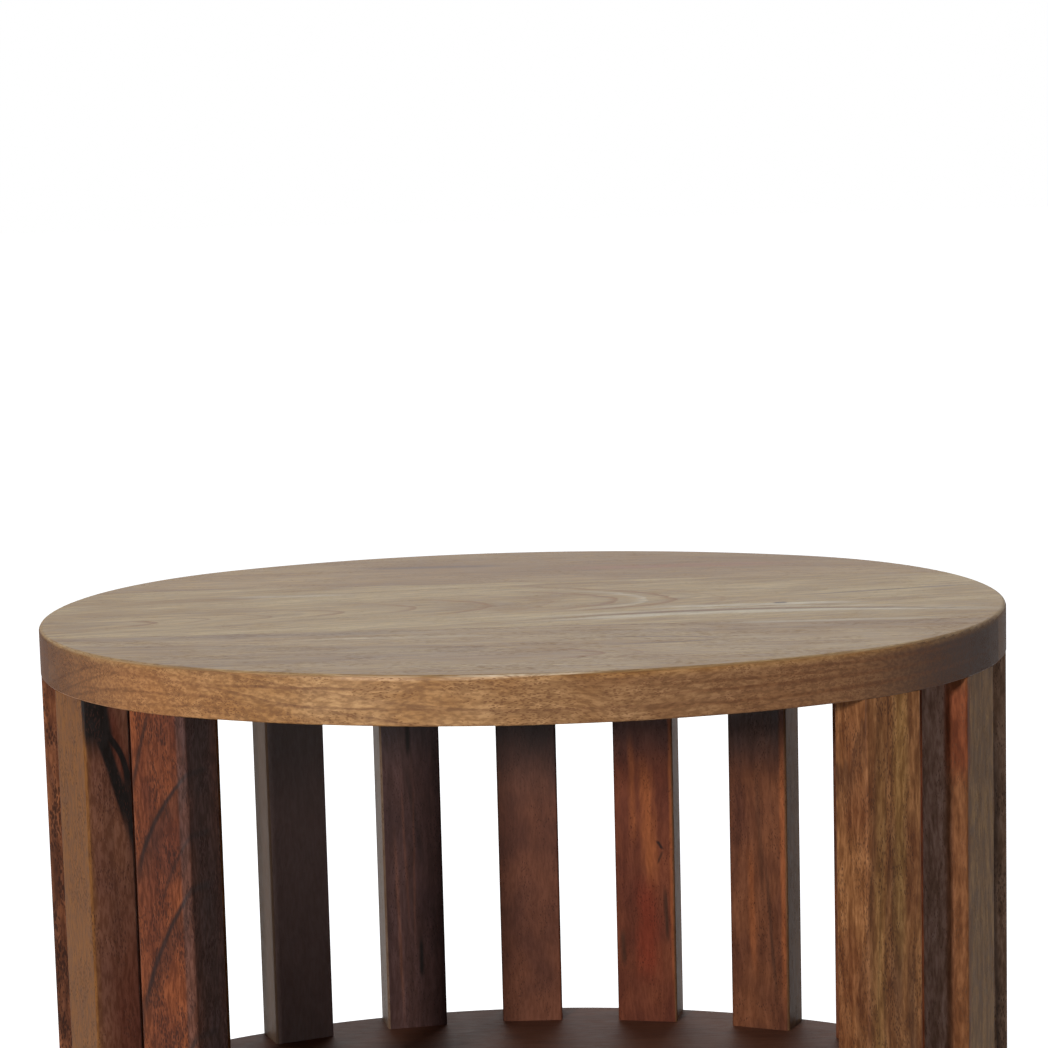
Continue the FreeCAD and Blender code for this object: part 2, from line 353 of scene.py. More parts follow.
def build_growth_rings() -> SharedGroup:
    """Build the rings of a tree whose pith runs near the X axis of the piece.

    Returns:
        The group. "Latewood" is 1 on the dark line that ends a year's growth, and "Zone" drifts slowly from
        one year to the next.
    """
    floats = ("Pith Y", "Pith Z", "Drift Y", "Drift Z", "Spacing", "Waver", "Seed")
    shared = SharedGroup("growth_rings", ("Vector",), floats, ("Latewood", "Zone"))
    graph, given = shared.graph, shared.given
    x, y, z = graph.split(given["Vector"])
    pick = graph.scatter(given["Seed"])
    offsets = []
    for pattern, share in ((SLOW_WAVER, SLOW_SHARE), (FAST_WAVER, FAST_SHARE)):
        waver = graph.noise(given["Vector"], pattern, pick, 2.0).outputs["Color"]
        scaled = graph.node("VectorMath", operation="SCALE")
        graph.feed(scaled.inputs[0], graph.vector_math("SUBTRACT", waver, (0.5, 0.5, 0.5)))
        graph.feed(scaled.inputs["Scale"], graph.math("MULTIPLY", given["Waver"], share))
        offsets.append(scaled.outputs[0])
    wander = graph.split(graph.vector_math("ADD", *offsets))

    squares = []
    for across, axis, shift in ((y, "Y", wander[1]), (z, "Z", wander[2])):
        centre = graph.math("MULTIPLY_ADD", x, given[f"Drift {axis}"], given[f"Pith {axis}"])
        reach = graph.math("ADD", graph.math("SUBTRACT", across, centre), shift)
        squares.append(graph.math("MULTIPLY", reach, reach))
    radius = graph.math("SQRT", graph.math("ADD", *squares))

    years = graph.math("DIVIDE", radius, given["Spacing"])
    uneven = graph.noise_along(graph.math("MULTIPLY_ADD", years, UNEVEN_PACE, given["Seed"]), 1.0)
    years = graph.math("MULTIPLY_ADD", uneven, UNEVEN_YEARS, years)
    season = graph.math("FRACT", years)
    darkening = graph.math("POWER", graph.between(season, LATEWOOD_START, LATEWOOD_FULL), LATEWOOD_CURVE)
    ending = graph.between(season, LATEWOOD_END, 1.0, 1.0, 0.0)
    year = graph.math("MULTIPLY_ADD", graph.math("FLOOR", years), YEAR_SEED, given["Seed"])
    strength = graph.between(graph.noise_along(year, 0.0), 0.3, 0.7, 0.15, 1.0)
    line = graph.math("MULTIPLY", graph.math("MULTIPLY", darkening, ending), strength)
    zone_start = graph.math("ADD", given["Seed"], ZONE_SEED)
    zone = graph.noise_along(graph.math("MULTIPLY_ADD", years, ZONE_PACE, zone_start), 2.0)
    graph.feed(shared.result["Latewood"], line)
    graph.feed(shared.result["Zone"], graph.between(zone, 0.3, 0.7))
    return shared


def build_fibre() -> SharedGroup:
    """Build what runs along the grain: fine fibre, open pores and broad cloudy shade.

    Returns:
        The group. "Fibre", "Ribbon" and "Cloud" are centred on 0.5, and "Pores" is 1 inside a pore.
    """
    results = ("Fibre", "Ribbon", "Pores", "Cloud")
    shared = SharedGroup("fibre_and_pores", ("Vector",), ("Seed", "Pore Width"), results)
    graph, given = shared.graph, shared.given
    pick = graph.scatter(given["Seed"])
    bend = graph.noise(given["Vector"], GRAIN_SWAY, pick, 2.0).outputs["Color"]
    flowing = graph.vector_math("ADD", given["Vector"], graph.vector_math("MULTIPLY", bend, SWAY))
    for name, vector, pattern, detail, roughness, spread in (
        ("Fibre", flowing, FINE_FIBRE, 3.0, 0.55, 0.2),
        ("Ribbon", flowing, RIBBONS, 3.0, 0.6, 0.18),
        ("Cloud", given["Vector"], CLOUDS, 2.0, 0.5, 0.18),
    ):
        shade = graph.noise(vector, pattern, pick, detail, roughness).outputs["Fac"]
        graph.feed(shared.result[name], graph.between(shade, 0.5 - spread, 0.5 + spread))

    cells = graph.node("TexVoronoi", voronoi_dimensions="3D", feature="F1")
    graph.feed(cells.inputs["Vector"], graph.vector_math("MULTIPLY_ADD", flowing, PORE_CELLS, pick))
    cells.inputs["Scale"].default_value = 1.0
    gather = graph.noise(flowing, PORE_GROUPS, pick, 2.0).outputs["Fac"]
    width = graph.math("MULTIPLY", given["Pore Width"], graph.between(gather, 0.36, 0.6, 0.25, 1.2))
    depth = graph.math("DIVIDE", graph.math("SUBTRACT", width, cells.outputs["Distance"]), PORE_EDGE)
    graph.feed(shared.result["Pores"], graph.math("MULTIPLY", depth, 1.0, clamp=True))
    return shared


def build_streak() -> SharedGroup:
    """Build one dark or pale streak that follows a gentle curve along the grain.

    Returns:
        The group. "Mask" is 1 at the middle of the streak.
    """
    floats = ("Half Length", "Half Width", "Half Depth", "Core", "Slope", "Bend", "Ragged", "Seed")
    shared = SharedGroup("stain_and_painted_light_streak", ("Vector", "Centre"), floats, ("Mask",))
    graph, given = shared.graph, shared.given
    along, across, depth = graph.split(graph.vector_math("SUBTRACT", given["Vector"], given["Centre"]))
    line = graph.math("MULTIPLY", along, graph.math("MULTIPLY_ADD", along, given["Bend"], given["Slope"]))
    rough = graph.noise(given["Vector"], RAGGED_EDGES, graph.scatter(given["Seed"]), 3.0, 0.6)
    shift = graph.math("MULTIPLY", graph.math("SUBTRACT", rough.outputs["Fac"], 0.5), given["Ragged"])
    off_line = graph.math("ADD", graph.math("SUBTRACT", across, line), shift)
    mask = None
    for distance, reach, start in (
        (off_line, "Half Width", given["Core"]),
        (along, "Half Length", 0.4),
        (depth, "Half Depth", 0.7),
    ):
        share = graph.math("DIVIDE", graph.math("ABSOLUTE", distance), given[reach])
        fade = graph.between(share, start, 1.0, 1.0, 0.0)
        mask = fade if mask is None else graph.math("MULTIPLY", mask, fade)
    graph.feed(shared.result["Mask"], mask)
    return shared


def build_arch() -> SharedGroup:
    """Build one growth line that closes to a rounded point where a board was sawn flat.

    Returns:
        The group. "Mask" darkens slowly from inside the arch and ends sharply on its outside.
    """
    floats = ("Sharpness", "Lean", "Reach", "Half Width")
    shared = SharedGroup("growth_arch", ("Vector", "Tip"), floats, ("Mask",))
    graph, given = shared.graph, shared.given
    wobble = graph.noise(given["Vector"], ARCH_WOBBLE, given["Tip"], 3.0, 0.55).outputs["Color"]
    shift = graph.vector_math("MULTIPLY_ADD", wobble, WOBBLE, WOBBLE_START)
    from_tip = graph.vector_math("SUBTRACT", given["Vector"], given["Tip"])
    along, across, depth = graph.split(graph.vector_math("ADD", from_tip, shift))
    across = graph.math("MULTIPLY_ADD", along, given["Lean"], across)
    fall = graph.math("MULTIPLY", across, given["Sharpness"])
    past = graph.math("MULTIPLY_ADD", across, fall, along)
    steep = graph.math("SQRT", graph.math("MULTIPLY_ADD", graph.math("MULTIPLY", fall, 4.0), fall, 1.0))
    off_line = graph.math("DIVIDE", past, graph.math("MULTIPLY", steep, given["Half Width"]))
    inside = graph.math("POWER", graph.between(off_line, ARCH_SHADE, 0.0), ARCH_CURVE)
    mask = graph.math("MULTIPLY", inside, graph.between(off_line, 0.0, 1.0, 1.0, 0.0))
    share = graph.math("DIVIDE", graph.math("ABSOLUTE", across), given["Reach"])
    mask = graph.math("MULTIPLY", mask, graph.between(share, 0.35, 1.0, 1.0, 0.0))
    on_face = graph.between(graph.math("ABSOLUTE", depth), ARCH_SKIN, ARCH_DEPTH, 1.0, 0.0)
    graph.feed(shared.result["Mask"], graph.math("MULTIPLY", mask, on_face))
    return shared


class WoodShop:
    """Holds the shared node groups that every timber uses."""

    def __init__(self) -> None:
        """Build the groups once."""
        self.rings = build_growth_rings()
        self.fibre = build_fibre()
        self.streak = build_streak()
        self.arch = build_arch()


# ---------------------------------------------------------------------------------------------------------
# Finishes

END_GRAIN = opaque((0.22, 0.17, 0.18))
END_SHARE = 0.85  # how far end grain goes to its colour
PORE_SHARE, LEVEL_PORE_SHARE = 0.75, 0.4  # how far pores go to theirs, and on a board's level faces
ZONE_SHARE = 0.35  # how much of the drift from pale to deep follows the years
RIBBON_SHADES = (0.35, -0.4)  # how much lighter the wood is between full ribbons, and darker in them
RIM_CALM = 0.35  # how far a panel's rim hides its fibre
BROWNING = (1.0, 1.2, 1.45)  # how much faster green and blue fall off in the shade of the fibre
UPRIGHT_BELOW, LEVEL_ABOVE = 0.35, 0.9  # the normal's height on upright and on level faces
FIBRE_ROUGH, BARE_ROUGH = 0.12, 0.2  # roughness that fibre adds, and that end grain and pores add
FIBRE_HEIGHT, PORE_DEPTH = 0.4, 0.12 * MM  # the relief: fibre as a share of a pore, and a pore in metres


@dataclass(frozen=True)
class Tone:
    """The colours of one piece of timber under its finish, as linear values."""

    pale: Colour
    deep: Colour
    line: Colour
    pore: Colour


class Sawing(Enum):
    """How a piece was sawn: how far the tree's pith lies beside its axis and below its face, in metres."""

    SLAB = (0.0, -0.130)
    FLAT = (0.0, -0.0345)
    RIFT = (0.035, -0.050)
    QUARTER = (0.085, -0.012)
    HEART = (0.0142, -0.005)


class Face(Enum):
    """The pair of faces on which a streak is drawn."""

    BROAD = "broad"
    EDGE = "edge"


@dataclass(frozen=True)
class Streak:
    """One stain, figure line, painted shade or highlight on a piece, in millimetres in the piece's own frame.

    Attributes:
        along: Where its middle is along the grain.
        across: Where its middle is across the face.
        half_length: Half of its length along the grain.
        half_width: Half of its width.
        colour: The colour it tends to.
        strength: How far it goes to that colour.
        slope: How fast it leaves the grain's direction.
        bend: How fast it curves, per metre.
        ragged: How far its edges wander.
        depth: Where it lies on the third axis.
        half_depth: How far it reaches on the third axis.
        face: The faces on which it is drawn.
        core: The share of its width that is solid, before it fades.
    """

    along: float
    across: float
    half_length: float
    half_width: float
    colour: Colour
    strength: float
    slope: float = 0.0
    bend: float = 0.0
    ragged: float = 2.0
    depth: float = 0.0
    half_depth: float = 60.0
    face: Face = Face.BROAD
    core: float = 0.1


@dataclass(frozen=True)
class Arch:
    """One growth line that closes to a point on a level face, in millimetres in the piece's own frame.

    Attributes:
        along: Where its tip is along the grain.
        across: Where its tip is across the face.
        sharpness: How fast its sides fall back from the tip, per millimetre.
        lean: How far its axis is turned off the grain.
        reach: How far to each side of the tip it can be seen.
        half_width: Half of its width.
        strength: How far it goes to its colour.
        colour: The colour it tends to.
    """

    along: float
    across: float
    sharpness: float
    lean: float
    reach: float
    half_width: float
    strength: float
    colour: Colour = (0.21, 0.085, 0.010)


@dataclass(frozen=True)
class Timber:
    """The finish of one piece of wood.

    Attributes:
        name: The material's name.
        tone: Its colours.
        sawing: How it was sawn.
        seed: Picks the piece's own pattern.
        spacing: Width of a year's growth.
        drift: How fast the pith leaves the piece's axis, sideways and in depth.
        waver: How far the rings wander.
        lines: How strongly the rings show.
        ribbon: How strongly the broad streaks show.
        pore_width: Size of the open pores, as a share of their spacing.
        sheen: Roughness of the satin finish.
        gloss: Specular level of the finish.
        grain: How strongly the fine fibre shows.
        figure: How much shorter than usual the fibre is on upright faces.
        calm: How far the level faces of a board hide their fibre.
        edge_tint: Colour by which the upright faces differ from the level ones.
        streaks: Stains, figure lines, and painted shade, shadows, sheen and highlights.
        arches: Growth lines that close to a point.
    """

    name: str
    tone: Tone
    sawing: Sawing
    seed: float
    spacing: float = 0.0042
    drift: tuple[float, float] = (0.02, 0.03)
    waver: float = 0.006
    lines: float = 0.6
    ribbon: float = 0.5
    pore_width: float = 0.26
    sheen: float = 0.55
    gloss: float = 0.1
    grain: float = 0.2
    figure: float = 1.8
    calm: float = 0.0
    edge_tint: Colour | None = None
    streaks: tuple[Streak, ...] = ()
    arches: tuple[Arch, ...] = ()

    def material(self, shop: WoodShop, lie: Matrix) -> bpy.types.Material:
        """Build the material of a piece that lies in the frame as the matrix says.

        Args:
            shop: The shared node groups.
            lie: From the piece's own frame, X along the grain, to the frame of the table.

        Returns:
            The material.
        """
        made = bpy.data.materials.new(self.name)
        graph = fresh_graph(made)
        place = graph.node("TexCoord")
        mapping = graph.node("Mapping", vector_type="TEXTURE")
        graph.feed(mapping.inputs["Vector"], place.outputs["Object"])
        mapping.inputs["Location"].default_value = lie.translation
        mapping.inputs["Rotation"].default_value = lie.to_euler()
        position = mapping.outputs[0]

        pith_y, pith_z = self.sawing.value
        rings = shop.rings.place(
            graph,
            Vector=position,
            Pith_Y=pith_y,
            Pith_Z=pith_z,
            Drift_Y=self.drift[0],
            Drift_Z=self.drift[1],
            Spacing=self.spacing,
            Waver=self.waver,
            Seed=self.seed,
        ).outputs
        upright = self.upright(graph, place.outputs["Normal"])
        stretch = graph.join(graph.math("MULTIPLY_ADD", upright, self.figure - 1.0, 1.0), 1.0, 1.0)
        shortened = graph.vector_math("MULTIPLY", position, stretch)
        fibre = shop.fibre.place(graph, Vector=shortened, Seed=self.seed, Pore_Width=self.pore_width).outputs

        colour = self.body_colour(graph, rings, fibre)
        for arch in self.arches:
            mask = graph.math("MULTIPLY", self.arch_mask(graph, shop, position, arch), arch.strength)
            colour = graph.mix(mask, colour, opaque(arch.colour))
        for number, streak in enumerate(self.streaks):
            mask = self.streak_mask(graph, shop, position, streak, number)
            colour = graph.mix(graph.math("MULTIPLY", mask, streak.strength), colour, opaque(streak.colour))
        crossing = self.crossing(graph, place.outputs["Normal"], lie)
        colour = self.shade_fibre(graph, fibre, colour, upright, crossing)
        pores = PORE_SHARE
        if self.edge_tint is not None:
            pores = graph.between(upright, 0.0, 1.0, LEVEL_PORE_SHARE, PORE_SHARE)
        colour = graph.mix(graph.math("MULTIPLY", fibre["Pores"], pores), colour, opaque(self.tone.pore))
        end = graph.between(crossing, 0.55, 1.0)
        dulled = graph.mix(1.0, colour, END_GRAIN, "MULTIPLY")
        colour = graph.mix(graph.math("MULTIPLY", end, END_SHARE), colour, dulled)
        if self.edge_tint is not None:
            colour = graph.mix(upright, colour, graph.mix(1.0, colour, opaque(self.edge_tint), "MULTIPLY"))

        shader = graph.node("BsdfPrincipled")
        graph.feed(shader.inputs["Base Color"], colour)
        rough = graph.math("MULTIPLY_ADD", fibre["Fibre"], FIBRE_ROUGH, self.sheen - FIBRE_ROUGH / 2)
        for rougher in (end, fibre["Pores"]):
            rough = graph.math("MULTIPLY_ADD", rougher, BARE_ROUGH, rough)
        graph.feed(shader.inputs["Roughness"], rough)
        fibre_height = graph.math("MULTIPLY", fibre["Fibre"], FIBRE_HEIGHT)
        height = graph.math("MULTIPLY_ADD", fibre["Pores"], -1.0, fibre_height)
        graph.feed(shader.inputs["Normal"], graph.bump(height, 0.5, PORE_DEPTH))
        shader.inputs["Specular IOR Level"].default_value = self.gloss
        graph.feed(graph.node("OutputMaterial").inputs["Surface"], shader.outputs[0])
        return made

    def body_colour(self, graph: Graph, rings: object, fibre: object) -> Socket:
        """Mix the wood's own colours by its rings and clouds.

        Args:
            graph: The material's graph.
            rings: The outputs of the ring group.
            fibre: The outputs of the fibre group.

        Returns:
            The wood's colour before stains and fibre.
        """
        ribbon_share = self.ribbon * 0.4
        zone = graph.math("MULTIPLY", rings["Zone"], ZONE_SHARE)
        zone = graph.math("MULTIPLY_ADD", fibre["Cloud"], 1.0 - ZONE_SHARE - ribbon_share, zone)
        zone = graph.math("MULTIPLY_ADD", fibre["Ribbon"], ribbon_share, zone)
        colour = graph.mix(zone, opaque(self.tone.pale), opaque(self.tone.deep))
        late = graph.math("MULTIPLY", rings["Latewood"], self.lines)
        return graph.mix(late, colour, opaque(self.tone.line))

    def shade_fibre(
        self, graph: Graph, fibre: object, colour: Socket, upright: Socket, crossing: Socket
    ) -> Socket:
        """Lighten and brown the wood by its fibre and its ribbons.

        Args:
            graph: The material's graph.
            fibre: The outputs of the fibre group.
            colour: The colour so far.
            upright: A mask that is 1 on upright faces, where a panel's rim is planed smoother.
            crossing: How squarely the face crosses the grain, where ribbons are cut too short to show.

        Returns:
            The shaded colour.
        """
        ribboned = graph.between(fibre["Ribbon"], 0.0, 1.0, *(self.ribbon * share for share in RIBBON_SHADES))
        ribboned = graph.math("MULTIPLY_ADD", ribboned, graph.between(crossing, 0.1, 0.7, 1.0, 0.25), 1.0)
        flecked = graph.between(fibre["Fibre"], 0.0, 1.0, 1.0 - self.grain, 1.0 + self.grain)
        shade = graph.math("MULTIPLY", flecked, ribboned)
        if self.edge_tint is not None:
            calm = graph.math("MULTIPLY_ADD", upright, RIM_CALM - self.calm, self.calm)
            shade = graph.math("ADD", graph.math("MULTIPLY", shade, graph.math("SUBTRACT", 1.0, calm)), calm)
        browned = graph.node("CombineColor")
        for channel, power in zip(browned.inputs, BROWNING):
            graph.feed(channel, graph.math("POWER", shade, power))
        return graph.mix(1.0, colour, browned.outputs[0], "MULTIPLY")

    def arch_mask(self, graph: Graph, shop: WoodShop, position: Socket, arch: Arch) -> Socket:
        """Place one arch.

        Args:
            graph: The material's graph.
            shop: The shared node groups.
            position: The place in the piece's own frame.
            arch: The growth line.

        Returns:
            The arch's mask.
        """
        return shop.arch.place(
            graph,
            Vector=position,
            Tip=(arch.along * MM, arch.across * MM, 0.0),
            Sharpness=arch.sharpness / MM,
            Lean=arch.lean,
            Reach=arch.reach * MM,
            Half_Width=arch.half_width * MM,
        ).outputs["Mask"]

    def streak_mask(
        self, graph: Graph, shop: WoodShop, position: Socket, streak: Streak, number: int
    ) -> Socket:
        """Place one streak.

        Args:
            graph: The material's graph.
            shop: The shared node groups.
            position: The place in the piece's own frame.
            streak: The stain or figure line.
            number: Its place in the list, which moves its seed on.

        Returns:
            The streak's mask.
        """
        if streak.face is Face.EDGE:
            along, across, depth = graph.split(position)
            position = graph.join(along, depth, across)
        return shop.streak.place(
            graph,
            Vector=position,
            Centre=(streak.along * MM, streak.across * MM, streak.depth * MM),
            Half_Length=streak.half_length * MM,
            Half_Width=streak.half_width * MM,
            Half_Depth=streak.half_depth * MM,
            Core=streak.core,
            Slope=streak.slope,
            Bend=streak.bend,
            Ragged=streak.ragged * MM,
            Seed=self.seed + number,
        ).outputs["Mask"]

    def crossing(self, graph: Graph, normal: Socket, lie: Matrix) -> Socket:
        """Find how squarely a face crosses the grain: end grain drinks more stain and stays duller.

        Args:
            graph: The material's graph.
            normal: The surface's normal in the frame of the table.
            lie: From the piece's own frame to the frame of the table.

        Returns:
            0 along the grain, and 1 on end grain.
        """
        grain = graph.node("VectorMath", operation="DOT_PRODUCT")
        graph.feed(grain.inputs[0], normal)
        grain.inputs[1].default_value = lie.to_3x3().col[0]
        return graph.math("ABSOLUTE", grain.outputs["Value"])

    def upright(self, graph: Graph, normal: Socket) -> Socket:
        """Return a mask that is 0 on faces that look up and 1 on all others."""
        return graph.between(graph.split(normal)[2], UPRIGHT_BELOW, LEVEL_ABOVE, 1.0, 0.0)


# ---------------------------------------------------------------------------------------------------------
# Sub-assemblies


@dataclass
class Panel:
    """One oval panel of three edge-glued boards, with the grain along X.

    Attributes:
        name: The first word of its nodes' names.
        timbers: The finish of the front, middle and back board.
        turns: How far each board's grain runs off the X axis, in degrees.
    """

    name: str
    timbers: tuple[Timber, Timber, Timber]
    turns: tuple[float, float, float] = (0.0, 0.0, 0.0)

    def dress(self, shop: WoodShop, nodes: dict[str, bpy.types.Object]) -> None:
        """Give each board its own timber, in a frame at the middle of the board's upper face.

        Args:
            shop: The shared node groups.
            nodes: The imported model's nodes, by name.
        """
        for board, timber, turn in zip(BOARDS, self.timbers, self.turns):
            node = f"{self.name}_board_{board}"
            low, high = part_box(node)
            middle = Vector((0.0, (low.y + high.y) / 2, high.z))
            lie = Matrix.Translation(middle) @ Matrix.Rotation(math.radians(turn), 4, "Z")
            nodes[node].material_slots[0].material = timber.material(shop, lie)
            LOG.info("%s: %s", node, timber.name)


@dataclass
class SlatRing:
    """One tier of slats, numbered from the front left round the back to the front right.

    Attributes:
        tier: The first word of its nodes' names.
        timbers: The finish of each slat, in order.
        arris: How far each edge of the chamfered arrises is sanded back.
        arris_steps: Facets across each sanded edge.
        weld: How near the mesh's loose corners have to be to become one.
        flat: The angle up to which two faces are one, in degrees.
        long_share: The share of a slat's height that only its long arrises pass.
    """

    tier: str
    timbers: tuple[Timber, ...]
    arris: float = 0.38 * MM
    arris_steps: int = 2
    weld: float = 0.001 * MM
    flat: float = 0.5
    long_share: float = 0.7

    def lie(self, node: bpy.types.Object) -> Matrix:
        """Find how a slat stands: X up the grain, Y along the rim, Z into the table.

        Args:
            node: The slat's CAD node.

        Returns:
            From the slat's own frame, at its middle, to the frame of the table.
        """
        corners = [vertex.co for vertex in node.data.vertices]
        centre = sum(corners, Vector()) / len(corners)
        widest = max(node.data.polygons, key=lambda face: face.area)
        outward = Vector((widest.normal.x, widest.normal.y, 0.0)).normalized()
        if outward.dot(Vector((centre.x, centre.y, 0.0))) < 0:
            outward = -outward
        up, inward = Vector((0.0, 0.0, 1.0)), -outward
        along_rim = inward.cross(up)
        turn = Matrix((up, along_rim, inward)).transposed()
        return Matrix.Translation(centre) @ turn.to_4x4()

    def sand(self, node: bpy.types.Object) -> bpy.types.Object:
        """Make a slat with rounded long arrises, which takes the place of the sharp one.

        Args:
            node: The slat's CAD node.

        Returns:
            The new slat, with its stub tenons.
        """
        work = bmesh.new()
        work.from_mesh(node.data)
        bmesh.ops.remove_doubles(work, verts=work.verts, dist=self.weld)
        flat = math.radians(self.flat)
        bmesh.ops.dissolve_limit(work, angle_limit=flat, verts=work.verts, edges=work.edges)
        low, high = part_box(node.name)
        shortest = (high.z - low.z) * self.long_share
        long_arrises = [edge for edge in work.edges if edge.calc_length() > shortest]
        bmesh.ops.bevel(
            work,
            geom=long_arrises,
            offset=self.arris,
            offset_type="OFFSET",
            affect="EDGES",
            segments=self.arris_steps,
            profile=0.5,
            material=-1,
        )
        mesh = bpy.data.meshes.new(f"{node.name}_sanded")
        work.to_mesh(mesh)
        work.free()
        slat = bpy.data.objects.new(mesh.name, mesh)
        bpy.context.scene.collection.objects.link(slat)
        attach(slat, "root")
        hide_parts(node.name)
        return slat

    def dress(self, shop: WoodShop, nodes: dict[str, bpy.types.Object]) -> None:
        """Sand each slat and give it its own timber.

        Args:
            shop: The shared node groups.
            nodes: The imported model's nodes, by name.
        """
        for number, timber in enumerate(self.timbers, start=1):
            node = nodes[f"{self.tier}_slat_{number:02d}"]
            slat = self.sand(node)
            slat.data.materials.append(timber.material(shop, self.lie(node)))
            LOG.info("%s: %s, %d faces", slat.name, timber.name, len(slat.data.polygons))


RING_MARKS: Scale = (30.0, 30.0, 5200.0)
DIRT: Scale = (420.0, 420.0, 420.0)
SCUFF_ROUGH = 0.25  # roughness that scuffs add


@dataclass(frozen=True)
class Hardware:
    """The finish of a moulded or drawn part that isn't wood.

    Attributes:
        name: The material's name.
        colour: Its clean colour.
        soiled: Its colour where it is scuffed.
        metallic: 1 for metal.
        roughness: Of the clean surface.
        mark_depth: Depth of the fine marks that run round it.
    """

    name: str
    colour: Colour
    soiled: Colour
    metallic: float
    roughness: float
    mark_depth: float

    def material(self, marks: SharedGroup) -> bpy.types.Material:
        """Build the material of a moulded or drawn part.

        Args:
            marks: The shared group of fine rings and scuffs.

        Returns:
            The material.
        """
        made = bpy.data.materials.new(self.name)
        graph = fresh_graph(made)
        worn = marks.place(graph, Vector=graph.node("TexCoord").outputs["Object"]).outputs
        shader = graph.node("BsdfPrincipled")
        colour = graph.mix(worn["Scuff"], opaque(self.colour), opaque(self.soiled))
        graph.feed(shader.inputs["Base Color"], colour)
        rough = graph.math("MULTIPLY_ADD", worn["Scuff"], SCUFF_ROUGH, self.roughness)
        graph.feed(shader.inputs["Roughness"], rough)
        shader.inputs["Metallic"].default_value = self.metallic
        graph.feed(shader.inputs["Normal"], graph.bump(worn["Turning"], 0.4, self.mark_depth))
        graph.feed(graph.node("OutputMaterial").inputs["Surface"], shader.outputs[0])
        return made


def build_wear_marks() -> SharedGroup:
    """Build fine level rings, and the scuffs that gather on a foot.

    Returns:
        The group. "Turning" changes with height alone, and "Scuff" is 1 where the surface is dirty.
    """
    shared = SharedGroup("wear_marks", ("Vector",), (), ("Turning", "Scuff"))
    graph, given = shared.graph, shared.given
    rings = graph.noise(given["Vector"], RING_MARKS, (0.0, 0.0, 0.0), 2.0)
    graph.feed(shared.result["Turning"], rings.outputs["Fac"])
    dirt = graph.noise(given["Vector"], DIRT, (3.0, 1.0, 7.0), 4.0, 0.65)
    graph.feed(shared.result["Scuff"], graph.between(dirt.outputs["Fac"], 0.45, 0.75))
    return shared


NYLON = Hardware("moulded_nylon", (0.12, 0.10, 0.09), (0.22, 0.19, 0.16), 0.0, 0.42, 0.03 * MM)
STEEL = Hardware("drawn_steel", (0.56, 0.54, 0.51), (0.24, 0.20, 0.17), 1.0, 0.3, 0.01 * MM)


@dataclass
class Feet:
    """The floor glides and the nails that hold them."""

    finishes: tuple[tuple[str, Hardware], ...] = (("floor_glides", NYLON), ("glide_nails", STEEL))

    def dress(self, nodes: dict[str, bpy.types.Object]) -> None:
        """Give the glides and the nails their finishes.

        Args:
            nodes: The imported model's nodes, by name.
        """
        marks = build_wear_marks()
        for name, finish in self.finishes:
            nodes[name].material_slots[0].material = finish.material(marks)
            LOG.info("%s: %s", name, finish.name)


# ---------------------------------------------------------------------------------------------------------
# Studio


